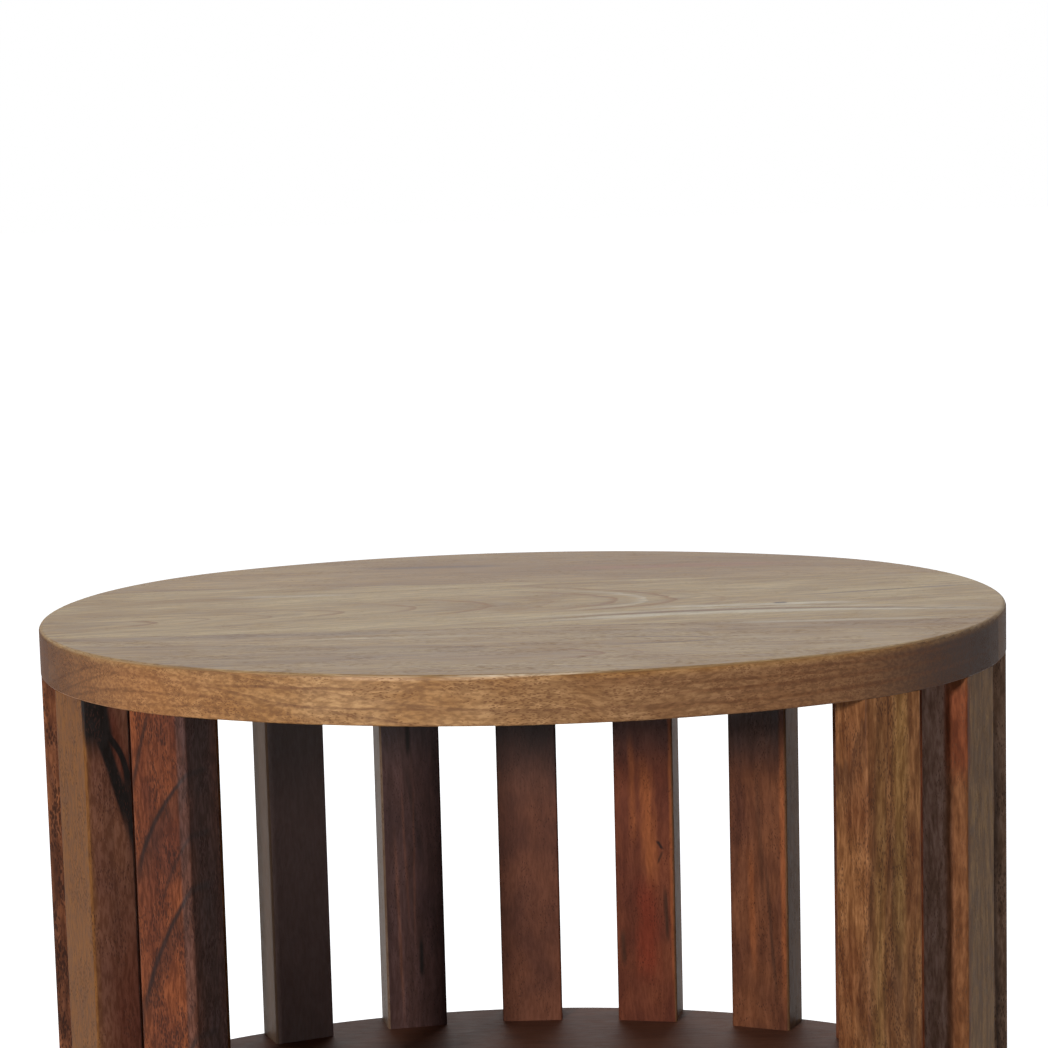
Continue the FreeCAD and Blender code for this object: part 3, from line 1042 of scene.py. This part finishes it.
@dataclass
class Studio:
    """Floor, lamps, world and camera, with angles in radians but for those of the lamps."""

    floor_half: float = 12.0
    sensor: float = 36.0
    camera_height: float = 0.7813
    camera_distance: float = 1.5103
    lens: float = 112.55
    pitch: float = 0.15
    roll: float = -0.0258
    yaw: float = 0.0012
    fill: float = 0.26
    fill_tint: Colour = (0.93, 1.0, 1.06)
    floor_grey: float = 0.8
    floor_glow: float = 0.85
    aim_height: float = 0.40

    def build(self) -> None:
        """Set up everything that isn't the table."""
        self.add_world()
        self.add_floor()
        self.add_lamp("key", azimuth=-27.5, elevation=15.5, distance=3.0, size=(0.16, 0.3), power=77.0)
        self.add_lamp("over", azimuth=178.0, elevation=40.0, distance=2.6, size=(1.6, 1.6), power=14.0)
        self.add_camera()
        bpy.context.scene.view_settings.view_transform = "Standard"

    def white_where_seen(self, graph: Graph, plain: Socket, seen: Socket) -> Socket:
        """Show one shader to the camera and in gloss and glass, and another to everything else.

        Args:
            graph: The world's or the floor's graph.
            plain: What lights the table.
            seen: What the camera, mirrors and glass meet.

        Returns:
            The mixed shader.
        """
        light = graph.node("LightPath").outputs
        for ray in ("Is Camera Ray", "Is Glossy Ray", "Is Transmission Ray"):
            choose = graph.node("MixShader")
            for target, value in zip(choose.inputs, (light[ray], plain, seen)):
                graph.feed(target, value)
            plain = choose.outputs[0]
        return plain

    def add_world(self) -> None:
        """White where it is seen, and a plain grey fill for everything else."""
        world = bpy.data.worlds.new("studio")
        bpy.context.scene.world = world
        graph = fresh_graph(world)
        fill, white = graph.node("Background"), graph.node("Background")
        fill.inputs["Color"].default_value = opaque(self.fill_tint)
        fill.inputs["Strength"].default_value = self.fill
        white.inputs["Color"].default_value = opaque((1.0, 1.0, 1.0))
        shown = self.white_where_seen(graph, fill.outputs[0], white.outputs[0])
        graph.feed(graph.node("OutputWorld").inputs["Surface"], shown)

    def add_floor(self) -> None:
        """Lay a pale floor that looks white, but for the table's own shadow."""
        half = self.floor_half
        mesh = bpy.data.meshes.new("floor")
        corners = [(-half, -half, 0.0), (half, -half, 0.0), (half, half, 0.0), (-half, half, 0.0)]
        mesh.from_pydata(corners, [], [(0, 1, 2, 3)])
        floor = bpy.data.objects.new("floor", mesh)
        bpy.context.scene.collection.objects.link(floor)
        material = bpy.data.materials.new("pale_floor")
        graph = fresh_graph(material)
        cloth, glow, lit = graph.node("BsdfDiffuse"), graph.node("Emission"), graph.node("AddShader")
        cloth.inputs["Color"].default_value = opaque((self.floor_grey,) * 3)
        glow.inputs["Strength"].default_value = self.floor_glow
        graph.feed(lit.inputs[0], cloth.outputs[0])
        graph.feed(lit.inputs[1], glow.outputs[0])
        shown = self.white_where_seen(graph, cloth.outputs[0], lit.outputs[0])
        graph.feed(graph.node("OutputMaterial").inputs["Surface"], shown)
        mesh.materials.append(material)

    def add_lamp(
        self,
        name: str,
        azimuth: float,
        elevation: float,
        distance: float,
        size: tuple[float, float],
        power: float,
    ) -> None:
        """Hang a soft lamp that looks at the middle of the upper tier.

        Args:
            name: The lamp's name.
            azimuth: Where it stands, in degrees to the right of the open front.
            elevation: Its height above the horizon, in degrees.
            distance: How far away it is.
            size: Its width and height.
            power: Its power in watts.
        """
        lamp = bpy.data.lights.new(name, "AREA")
        lamp.shape, lamp.energy = "RECTANGLE", power
        lamp.size, lamp.size_y = size
        holder = bpy.data.objects.new(name, lamp)
        turn, rise = math.radians(azimuth), math.radians(elevation)
        away = Vector((math.sin(turn) * math.cos(rise), -math.cos(turn) * math.cos(rise), math.sin(rise)))
        holder.location = Vector((0.0, 0.0, self.aim_height)) + away * distance
        holder.rotation_euler = away.to_track_quat("Z", "Y").to_euler()
        bpy.context.scene.collection.objects.link(holder)

    def add_camera(self) -> None:
        """Stand the camera in front of the table and look slightly down."""
        camera = bpy.data.cameras.new("camera")
        camera.sensor_width, camera.lens = self.sensor, self.lens
        holder = bpy.data.objects.new("camera", camera)
        forward = Vector(
            (
                math.sin(self.yaw) * math.cos(self.pitch),
                math.cos(self.yaw) * math.cos(self.pitch),
                -math.sin(self.pitch),
            )
        )
        level = Vector((math.cos(self.yaw), -math.sin(self.yaw), 0.0))
        upright = level.cross(forward)
        right = level * math.cos(self.roll) + upright * math.sin(self.roll)
        up = upright * math.cos(self.roll) - level * math.sin(self.roll)
        holder.matrix_world = Matrix.Translation((0.0, -self.camera_distance, self.camera_height)) @ Matrix(
            (right, up, -forward)
        ).transposed().to_4x4()
        bpy.context.scene.collection.objects.link(holder)
        bpy.context.scene.camera = holder


# ---------------------------------------------------------------------------------------------------------
# The table


TOP_FACE = Tone((0.455, 0.322, 0.162), (0.240, 0.125, 0.035), (0.13, 0.062, 0.026), (0.13, 0.06, 0.028))
TOP_GREY = Tone((0.385, 0.262, 0.138), (0.215, 0.103, 0.022), (0.13, 0.062, 0.026), (0.13, 0.06, 0.028))
TOP_BROWN = Tone((0.39, 0.25, 0.115), (0.23, 0.12, 0.042), (0.12, 0.05, 0.022), (0.1, 0.045, 0.02))
HONEY_EDGE: Colour = (0.715, 0.535, 0.39)
HONEY_FRONT: Colour = (0.80, 0.635, 0.49)
DARK_STAINED = Tone((0.115, 0.047, 0.026), (0.075, 0.029, 0.018), (0.045, 0.018, 0.013), (0.03, 0.013, 0.01))
BROWN_STAINED = Tone((0.17, 0.070, 0.032), (0.10, 0.038, 0.020), (0.055, 0.022, 0.014), (0.035, 0.015, 0.010))
PLAIN_EDGE: Colour = (1.7, 1.9, 1.75)

CHESTNUT = Tone((0.15, 0.040, 0.013), (0.056, 0.0145, 0.008), (0.022, 0.009, 0.007), (0.022, 0.009, 0.007))
OLIVE_TAN = Tone((0.155, 0.062, 0.034), (0.086, 0.032, 0.021), (0.045, 0.018, 0.012), (0.04, 0.016, 0.011))
ZEBRA = Tone((0.19, 0.062, 0.022), (0.055, 0.018, 0.01), (0.022, 0.009, 0.007), (0.018, 0.008, 0.006))
UMBER = Tone((0.150, 0.085, 0.055), (0.095, 0.052, 0.035), (0.05, 0.028, 0.021), (0.045, 0.026, 0.02))
STREAKY_UMBER = Tone(
    (0.078, 0.037, 0.031), (0.046, 0.023, 0.021), (0.018, 0.01, 0.009), (0.016, 0.009, 0.008)
)
RUSSET = Tone((0.16, 0.054, 0.027), (0.07, 0.023, 0.014), (0.032, 0.013, 0.009), (0.03, 0.012, 0.009))
FLAME = Tone((0.21, 0.058, 0.024), (0.08, 0.019, 0.011), (0.045, 0.012, 0.008), (0.04, 0.012, 0.008))
COPPER = Tone((0.17, 0.058, 0.024), (0.068, 0.021, 0.012), (0.036, 0.013, 0.009), (0.03, 0.012, 0.008))
DRIFTWOOD = Tone((0.230, 0.118, 0.044), (0.132, 0.064, 0.025), (0.085, 0.042, 0.022), (0.07, 0.036, 0.02))
AMBER = Tone((0.235, 0.101, 0.036), (0.112, 0.036, 0.014), (0.055, 0.022, 0.011), (0.045, 0.018, 0.01))

WALNUT = Tone((0.210, 0.115, 0.068), (0.120, 0.064, 0.038), (0.050, 0.027, 0.018), (0.040, 0.021, 0.015))

BLACK_STAIN: Colour = (0.010, 0.007, 0.006)
BURNT: Colour = (0.045, 0.018, 0.010)
SCORCH: Colour = (0.018, 0.008, 0.006)
RED_STAIN: Colour = (0.190, 0.028, 0.011)
GLOW: Colour = (0.340, 0.100, 0.030)
ASH: Colour = (0.560, 0.440, 0.290)
FLECK: Colour = (0.600, 0.510, 0.380)
GRAIN_LINE: Colour = (0.120, 0.052, 0.020)

BOARDS = ("front", "middle", "back")
SHELF_SEED, BASE_SEED, BOARD_SEED_STEP = 60.0, 70.0, 1.3
LOWER_SEED, LOWER_SEED_STEP = 40.0, 1.37

# Where a slat's faces lie from its middle, in millimetres: into the table, out of it, and along the rim.
INNER_FACE, OUTER_FACE, SIDE_FACE = 11.0, -11.0, 15.5


def stains_and_painted_light(*rows: tuple, **shared: object) -> tuple[Streak, ...]:
    """Return a streak for each row of its own values, with the values that all of them share."""
    return tuple(Streak(*row, **shared) for row in rows)


def growth_arches(*rows: tuple) -> tuple[Arch, ...]:
    """Return an arch for each row of its values."""
    return tuple(Arch(*row) for row in rows)


def top_panel() -> Panel:
    """Cut the top's boards, in greyish tan with a honey-brown rim.

    Returns:
        The top.
    """
    # Painted shade: each board's rim darkens towards its right end, away from the key light, and is near
    # black at that end.
    painted_rim_shade = stains_and_painted_light(
        (165, 0, 225, 130, (0.172, 0.095, 0.054), 0.8),
        (232, 0, 105, 130, (0.045, 0.019, 0.010), 0.85),
        depth=-13,
        half_depth=12.5,
    )
    warm_corner = Streak(-225, 0, 120, 130, (0.30, 0.155, 0.070), 0.65, depth=-13, half_depth=12.5)
    rim_lines = tuple(
        Streak(along, height, length, width, GRAIN_LINE, strength, slope, bend, 1.3, face=Face.EDGE, core=0.3)
        for along, height, length, width, strength, slope, bend in (
            (-60, -6, 110, 0.9, 0.6, 0.01, 0),
            (-200, -10, 24, 1, 0.4, 0.55, -8),
            (-195, -13, 22, 0.8, 0.4, 0.55, -8),
            (-187, -15.5, 26, 1, 0.4, 0.32, -5),
            (-176, -4.5, 30, 3.5, 0.22, 0.02, -1),
            (-160, -12.5, 50, 0.9, 0.45, 0.04, -1.2),
            (-150, -17, 50, 0.8, 0.35, 0.04, -1.2),
            (-20, -15, 120, 0.8, 0.6, -0.008, 0),
            (10, -4.5, 90, 1, 0.65, -0.012, 0),
            (30, -11, 110, 0.8, 0.55, 0.006, 0),
            (80, -7, 100, 0.9, 0.55, -0.01, 0),
            (95, -16.5, 90, 1, 0.55, 0.01, 0),
            (130, -10.5, 80, 1.2, 0.5, 0.012, 0),
            (150, -5, 60, 1.1, 0.55, -0.015, 0),
            (165, -15, 60, 1.3, 0.5, 0.02, 0),
        )
    )
    # Painted highlight: a thin pale glint along the top's rounded front arris, where the edge catches the
    # light.
    painted_arris_glint = stains_and_painted_light(
        (-3, -54.6, 42, 0.6, (0.60, 0.47, 0.33), 0.9, 0, 1.54, 0.8, -0.6),
        (-62, -48.9, 24, 0.6, (0.55, 0.40, 0.26), 0.6, -0.19, 1.54, 0.8, -1),
        half_depth=1.8,
        core=0.5,
    )
    finish = {"sheen": 0.5, "gloss": 0.2, "grain": 0.35, "figure": 2, "calm": 0.5, "edge_tint": HONEY_EDGE}
    planed = Timber("top_wood", TOP_FACE, Sawing.SLAB, 0, **finish)
    front = replace(
        planed,
        name="top_front_wood",
        tone=TOP_GREY,
        seed=3,
        spacing=0.0056,
        drift=(0, -0.03),
        waver=0.005,
        lines=0.5,
        ribbon=0.4,
        pore_width=0.34,
        edge_tint=HONEY_FRONT,
        streaks=(
            *stains_and_painted_light(
                (-126, 49, 110, 7, (0.17, 0.11, 0.08), 0.5, 0, 0, 6),
                (-25, -11, 85, 14, (0.20, 0.11, 0.06), 0.4, 0, 0, 9),
                (60, 8, 30, 2.2, (0.13, 0.07, 0.04), 0.8, 0.12, 3, 1),
                (64, 22, 34, 2.2, (0.13, 0.07, 0.04), 0.7, -0.16, -3, 1),
                (110, 38, 110, 6, (0.20, 0.12, 0.07), 0.45, 0.03, 0, 6),
                (-60, 36, 50, 4, ASH, 0.5, 0, 0, 6),
                (-60, 57, 150, 3, (0.11, 0.04, 0.004), 0.9, 0, 0, 1.5, 0, 3),
                (140, 52, 60, 4, FLECK, 0.45, 0, 0, 6),
            ),
            *painted_rim_shade,
            warm_corner,
            *rim_lines,
            *painted_arris_glint,
        ),
        arches=growth_arches((34, -12, 0.14, 0, 15, 1.5, 0.95), (52, -12, 0.10, 0, 16, 1.1, 0.5)),
    )
    middle = replace(
        planed,
        name="top_middle_wood",
        sawing=Sawing.FLAT,
        seed=5,
        spacing=0.0034,
        drift=(0, -0.0625),
        waver=0.003,
        lines=0.4,
        ribbon=0.4,
        pore_width=0.24,
        streaks=(
            *stains_and_painted_light(
                (106, -50, 130, 6, FLECK, 0.75, -0.12, -1, 9),
                (90, -38, 120, 3, FLECK, 0.45, -0.10, -1.2, 5),
                (100, -44.4, 130, 3, (0.13, 0.05, 0.006), 0.9, -0.137, -1.27),
                (106, -33, 60, 5, FLECK, 0.8, -0.13, 0, 9),
                (117, -31.6, 4, 3, (0.06, 0.03, 0.02), 0.95, 0, 0, 1),
                (176, -11, 60, 2.4, (0.12, 0.07, 0.045), 0.75, 0.07),
                (-104, 52, 35, 5, FLECK, 0.4, -0.14, 0, 7),
            ),
            *painted_rim_shade,
            warm_corner,
        ),
        arches=growth_arches(
            (94, -12, 0.035, 0.25, 60, 1.3, 0.35),
            (72, -7, 0.045, 0.28, 50, 1.5, 0.95),
            (60, -4, 0.045, 0.22, 34, 1.8, 0.5, FLECK),
            (45, -1.3, 0.050, 0.15, 36, 1.5, 0.95),
            (14, 0, 0.055, 0.12, 30, 1.1, 0.5),
            (-15, 0.1, 0.065, 0.1, 30, 1.4, 0.85),
            (-49, 3.8, 0.11, 0.1, 16, 1.4, 0.8),
            (-84, 0.8, 0.20, 0.1, 13, 1.4, 0.8),
            (-118, 0, 0.20, 0.1, 13, 1.1, 0.5),
            (-147, 0, 0.22, 0, 12, 1.1, 0.5),
            (-172, -1, 0.22, 0, 10, 1.6, 0.95),
        ),
    )
    back = replace(
        planed,
        name="top_back_wood",
        tone=TOP_BROWN,
        seed=8,
        spacing=0.007,
        drift=(0.05, 0.03),
        ribbon=0.35,
        streaks=(
            *stains_and_painted_light(
                (45, 2, 200, 70, (0.185, 0.090, 0.034), 0.6, 0, 0, 14),
                (78, -9, 70, 9, (0.30, 0.11, 0.06), 0.5, 0, 0, 7),
                (-43, 5, 45, 6, (0.10, 0.05, 0.03), 0.7),
            ),
            *painted_rim_shade,
        ),
    )
    return Panel("top", (front, middle, back), turns=(0, 8, 0))


def stained_panel(name: str, tone: Tone, seed: float) -> Panel:
    """Cut the boards of the shelf or the base, stained darker than the top.

    Args:
        name: The first word of the boards' names.
        tone: The colours of the stained wood.
        seed: Picks the first board's pattern.

    Returns:
        The panel.
    """
    shades = {"lines": 0.15, "ribbon": 0.2, "pore_width": 0.16, "grain": 0.07, "edge_tint": PLAIN_EDGE}
    sawings = (Sawing.SLAB, Sawing.FLAT, Sawing.SLAB)
    front, middle, back = (
        Timber(
            f"{name}_{board}_wood",
            tone,
            sawing,
            seed + BOARD_SEED_STEP * number,
            spacing=0.006,
            drift=(0.03, 0.05),
            **shades,
        )
        for number, (board, sawing) in enumerate(zip(BOARDS, sawings))
    )
    return Panel(name, (front, middle, back), turns=(1.5, -2, 0.5))


def inner_stains_and_painted_light(*rows: tuple) -> tuple[Streak, ...]:
    """Return streaks on a slat's inner face, from rows that end with how deep each one reaches."""
    return tuple(Streak(*row[:-1], depth=INNER_FACE, half_depth=row[-1]) for row in rows)


def left_front_slats() -> tuple[Timber, ...]:
    """Cut the slats to the left of the open front.

    Returns:
        Their timbers, from the front backwards.
    """
    chestnut = Timber(
        "chestnut_cathedral",
        CHESTNUT,
        Sawing.FLAT,
        11,
        0.006,
        (0.1, 0.2),
        lines=0.3,
        ribbon=0.3,
        pore_width=0.42,
        grain=0.3,
        streaks=(
            *stains_and_painted_light(
                (60, -1, 34, 8, SCORCH, 0.45, 0.64, 8, 4),
                (64.6, -2, 36, 2.2, SCORCH, 0.95, 0.65, 8.6, 1.5),
                (2, -1, 40, 8, SCORCH, 0.45, 0.52, 4.2, 4),
                (8.2, -1, 44, 2.2, SCORCH, 0.95, 0.52, 4.2, 1.5),
                (94, -10, 24, 1.8, SCORCH, 0.75, 0.3, 0, 1.5),
                (-55, 2, 36, 2, SCORCH, 0.8, 0.5, 4, 1.5),
                (48, 9, 26, 1.6, SCORCH, 0.6, 0.6, 6, 1.5),
                depth=OUTER_FACE,
                half_depth=16,
            ),
            # Painted shade: the inner side face is darkened to a near-black brown, as it lies in shade.
            Streak(0, 0, 400, 24, (0.038, 0.027, 0.025), 0.8, 0, 0, 3, SIDE_FACE, 6, Face.EDGE),
        ),
    )
    olive = Timber(
        "olive_tan_with_black_stain",
        OLIVE_TAN,
        Sawing.QUARTER,
        12.5,
        lines=0.3,
        ribbon=0.12,
        pore_width=0.32,
        grain=0.22,
        streaks=(
            Streak(0, OUTER_FACE, 400, 4, (0.140, 0.055, 0.016), 0.5, ragged=3, face=Face.EDGE),
            Streak(0, 0, 400, 60, (0.130, 0.047, 0.005), 0.62, ragged=3, depth=OUTER_FACE, half_depth=1.2),
            *stains_and_painted_light(
                (-60, 4, 90, 16, (0.075, 0.018, 0.010), 0.7, 0.1, 0, 8),
                (88, 5, 26, 8, (0.075, 0.017, 0.009), 0.7, -0.3, 0, 3, SIDE_FACE, 14),
                face=Face.EDGE,
            ),
            *stains_and_painted_light(
                (107, -5.7, 27, 7.8, BLACK_STAIN, 1, -0.12, 0, 3, SIDE_FACE, 1.6, Face.EDGE, 0.7),
                (77, 2.4, 40, 3.6, BLACK_STAIN, 1, -0.3, -1.2, 1.5, SIDE_FACE, 1.6, Face.EDGE, 0.55),
                (84, 6.5, 23, 2.1, BLACK_STAIN, 1, -0.42, -17, 1, SIDE_FACE, 1.6, Face.EDGE, 0.5),
                (57, 9.5, 22, 2.2, BLACK_STAIN, 0.95, -0.08, 0, 1, SIDE_FACE, 1.6, Face.EDGE, 0.4),
            ),
        ),
    )
    zebra = Timber(
        "zebra_brown", ZEBRA, Sawing.RIFT, 14, 0.0042, (0.25, 0.2), 0.006, 0.4, ribbon=0.6, pore_width=0.52
    )
    return chestnut, olive, zebra


def back_slats() -> tuple[Timber, ...]:
    """Cut the five slats of the back, whose inner faces show through the open front.

    Returns:
        Their timbers, from left to right.
    """
    # Painted sheen: one side face of a back slat is turned to an even, greyer brown, standing in for light
    # reflected off it.
    left_side = Streak(0, 0, 400, 60, (0.139, 0.083, 0.050), 0.9, 0, 0, 3, SIDE_FACE, 1.2, Face.EDGE)
    right_side = replace(left_side, colour=(0.13, 0.065, 0.030), depth=-SIDE_FACE)
    # Painted shadow: the upper end of a back slat's inner face darkens where the top shades it.
    painted_top_shadow, *_ = inner_stains_and_painted_light((92, 0, 74, 80, (0.050, 0.062, 0.068), 0.75, 0, 0, 8, 14))
    umber = Timber(
        "plain_umber",
        UMBER,
        Sawing.SLAB,
        18.3,
        0.008,
        (0.1, 0.1),
        lines=0.1,
        ribbon=0.1,
        pore_width=0.1,
        grain=0.06,
        streaks=(
            *inner_stains_and_painted_light(
                # Painted light: the inner face is paler and greyer than the rest of the slat, standing in for
                # light on this shaded face.
                (0, 0, 400, 60, (0.215, 0.150, 0.138), 0.9, 0, 0, 3, 14),
                # Painted shadow: the upper end of the inner face darkens where the top shades it.
                (92, 0, 95, 60, (0.10, 0.085, 0.082), 0.75, 0, 0, 8, 14),
            ),
            left_side,
        ),
    )
    streaky = Timber(
        "streaky_umber",
        STREAKY_UMBER,
        Sawing.QUARTER,
        19.6,
        0.0036,
        lines=0.25,
        ribbon=0.3,
        gloss=0.15,
        grain=0.12,
        streaks=(
            replace(painted_top_shadow, strength=0.35),
            left_side,
            *inner_stains_and_painted_light(
                (44, 1, 14, 2.2, BLACK_STAIN, 0.9, 12),
                (3, -1, 34, 2.4, BLACK_STAIN, 0.45, 0.14, 12),
                (-74, -2.9, 14, 1.8, BLACK_STAIN, 0.95, 12),
                (-56, 8, 60, 1.4, (0.20, 0.075, 0.040), 0.3, 0.02, 14),
                (-20, 4, 45, 1, (0.18, 0.065, 0.035), 0.28, 0.03, 14),
                (-25, -0.5, 50, 0.9, (0.18, 0.065, 0.035), 0.28, -0.02, 14),
            ),
        ),
    )
    mottled = Timber(
        "mottled_russet",
        RUSSET,
        Sawing.SLAB,
        21.4,
        0.009,
        lines=0.2,
        ribbon=0.1,
        pore_width=0.24,
        grain=0.12,
        gloss=0.17,
        # Painted shadow: the upper end of the inner face darkens where the top shades it.
        streaks=inner_stains_and_painted_light((92, 0, 100, 80, (0.018, 0.018, 0.019), 0.8, 0, 0, 8, 14)),
    )
    flame = Timber(
        "flame_with_knots",
        FLAME,
        Sawing.SLAB,
        22.7,
        0.008,
        lines=0.3,
        ribbon=0.2,
        gloss=0.09,
        grain=0.1,
        streaks=(
            painted_top_shadow,
            right_side,
            *inner_stains_and_painted_light(
                (-6, -2, 42, 5.5, GLOW, 0.6, 0.05, 0, 6, 16),
                (12, 6, 36, 3, GLOW, 0.4, 0.02, 0, 4, 16),
                (-62, -1, 34, 9, RED_STAIN, 0.6, 0, 0, 8, 16),
                (-16.9, -8, 3, 1.5, BLACK_STAIN, 0.9, 0.6, 0, 1, 6),
                (-23.5, -8.2, 4.5, 1, BURNT, 0.8, -0.4, 0, 1.2, 6),
                (-54, -10.8, 18, 1.5, BURNT, 0.9, 0.05, 0, 3, 9),
                (-72, 12, 12, 2.6, BURNT, 0.8, 0, 0, 3, 9),
                (0, -14, 120, 1.4, GLOW, 0.5, 0, 0, 2, 16),
            ),
        ),
    )
    copper = Timber(
        "copper_ribbon",
        COPPER,
        Sawing.RIFT,
        24.1,
        0.005,
        (0.08, 0.05),
        lines=0.3,
        ribbon=0.32,
        gloss=0.09,
        grain=0.11,
        streaks=(
            painted_top_shadow,
            right_side,
            *inner_stains_and_painted_light(
                (-20, -13.2, 100, 2.2, GLOW, 0.55, 0, 0, 2, 16),
                (-48, 3.5, 40, 3, GLOW, 0.4, 0.03, 0, 4, 16),
                (-60, -6.5, 48, 1.6, BURNT, 0.7, 0.07, 0, 2, 12),
                (-10, -1, 45, 2, BURNT, 0.45, 0.05, 0, 3, 12),
            ),
        ),
    )
    return umber, streaky, mottled, flame, copper


def right_front_slats() -> tuple[Timber, ...]:
    """Cut the slats to the right of the open front.

    Returns:
        Their timbers, from the back forwards.
    """
    walnut = Timber(
        "dark_walnut", WALNUT, Sawing.RIFT, 28.2, 0.005, lines=0.8, ribbon=0.8, pore_width=0.34, gloss=0.17
    )
    driftwood = Timber(
        "driftwood",
        DRIFTWOOD,
        Sawing.QUARTER,
        29.9,
        0.0045,
        lines=0.4,
        ribbon=0.6,
        streaks=stains_and_painted_light(
            # Painted light and shade on the side face: paler grey-brown on its inner part, in cast shadow,
            # and an orange-red band on its outer part, where the key light falls.
            (0, -SIDE_FACE, 300, 8, (0.265, 0.155, 0.120), 0.8, 0, 0, 4, 8, 14),
            (0, -SIDE_FACE, 260, 5, (0.135, 0.045, 0.015), 0.85, 0, 0, 4, -9, 10),
            (88, -SIDE_FACE, 30, 6, (0.125, 0.026, 0.008), 0.75, 0, 0, 5, -7, 8),
        ),
    )
    amber = Timber(
        "amber_with_dark_heart",
        AMBER,
        Sawing.QUARTER,
        31.3,
        0.004,
        (0.03, 0.02),
        lines=0.6,
        ribbon=0.55,
        pore_width=0.34,
        streaks=stains_and_painted_light(
            (10, 1, 60, 6, (0.07, 0.030, 0.016), 0.55, 0, 0, 8),
            (60, 3, 90, 6, (0.26, 0.138, 0.042), 0.5, 0.01, 0, 5),
            (0, -9, 120, 5, (0.25, 0.135, 0.042), 0.35, 0.02, 0, 5),
            (-35, 9, 40, 4, (0.06, 0.026, 0.014), 0.5, 0, 0, 4),
            depth=OUTER_FACE,
            half_depth=14,
        ),
    )
    return walnut, driftwood, amber


def upper_slats() -> SlatRing:
    """Cut the upper tier, each slat from a timber of its own.

    Returns:
        The upper tier.
    """
    left_side = (
        Timber("side_russet", RUSSET, Sawing.FLAT, 15.2, 0.005, lines=0.7),
        Timber("side_amber", AMBER, Sawing.RIFT, 16.9, 0.006, lines=0.6),
    )
    right_side = (
        Timber("side_copper", COPPER, Sawing.FLAT, 25.8, 0.006, lines=0.6),
        Timber("side_chestnut", CHESTNUT, Sawing.QUARTER, 27, 0.004, lines=0.7),
    )
    return SlatRing("upper", left_front_slats() + left_side + back_slats() + right_side + right_front_slats())


def lower_slats() -> SlatRing:
    """Cut the lower tier, in the same kinds of timber.

    Returns:
        The lower tier.
    """
    tones = (RUSSET, AMBER, CHESTNUT, UMBER, COPPER, OLIVE_TAN, ZEBRA, CHESTNUT)
    tones += (DRIFTWOOD, RUSSET, FLAME, AMBER, STREAKY_UMBER, COPPER, OLIVE_TAN)
    sawings = (Sawing.HEART, Sawing.QUARTER, Sawing.RIFT, Sawing.SLAB, Sawing.FLAT)
    timbers = tuple(
        Timber(
            f"lower_slat_{number:02d}_wood",
            tone,
            sawings[number % len(sawings)],
            LOWER_SEED + LOWER_SEED_STEP * number,
            0.004 + 0.0007 * (number % 4),
            (0.02 * (number % 3), 0.3 if number % 5 == 0 else 0.04),
            ribbon=0.3 + 0.15 * (number % 5),
            pore_width=0.22 + 0.04 * (number % 4),
        )
        for number, tone in enumerate(tones, start=1)
    )
    return SlatRing("lower", timbers)


def main() -> None:
    """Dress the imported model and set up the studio."""
    logging.basicConfig(level=logging.INFO, format="%(message)s")
    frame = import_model()
    nodes = frame["nodes"]
    shop = WoodShop()
    shelf = stained_panel("shelf", DARK_STAINED, SHELF_SEED)
    base = stained_panel("base", BROWN_STAINED, BASE_SEED)
    for panel in (top_panel(), shelf, base):
        panel.dress(shop, nodes)
    for ring in (upper_slats(), lower_slats()):
        ring.dress(shop, nodes)
    Feet().dress(nodes)
    Studio().build()


if __name__ == "__main__":
    main()
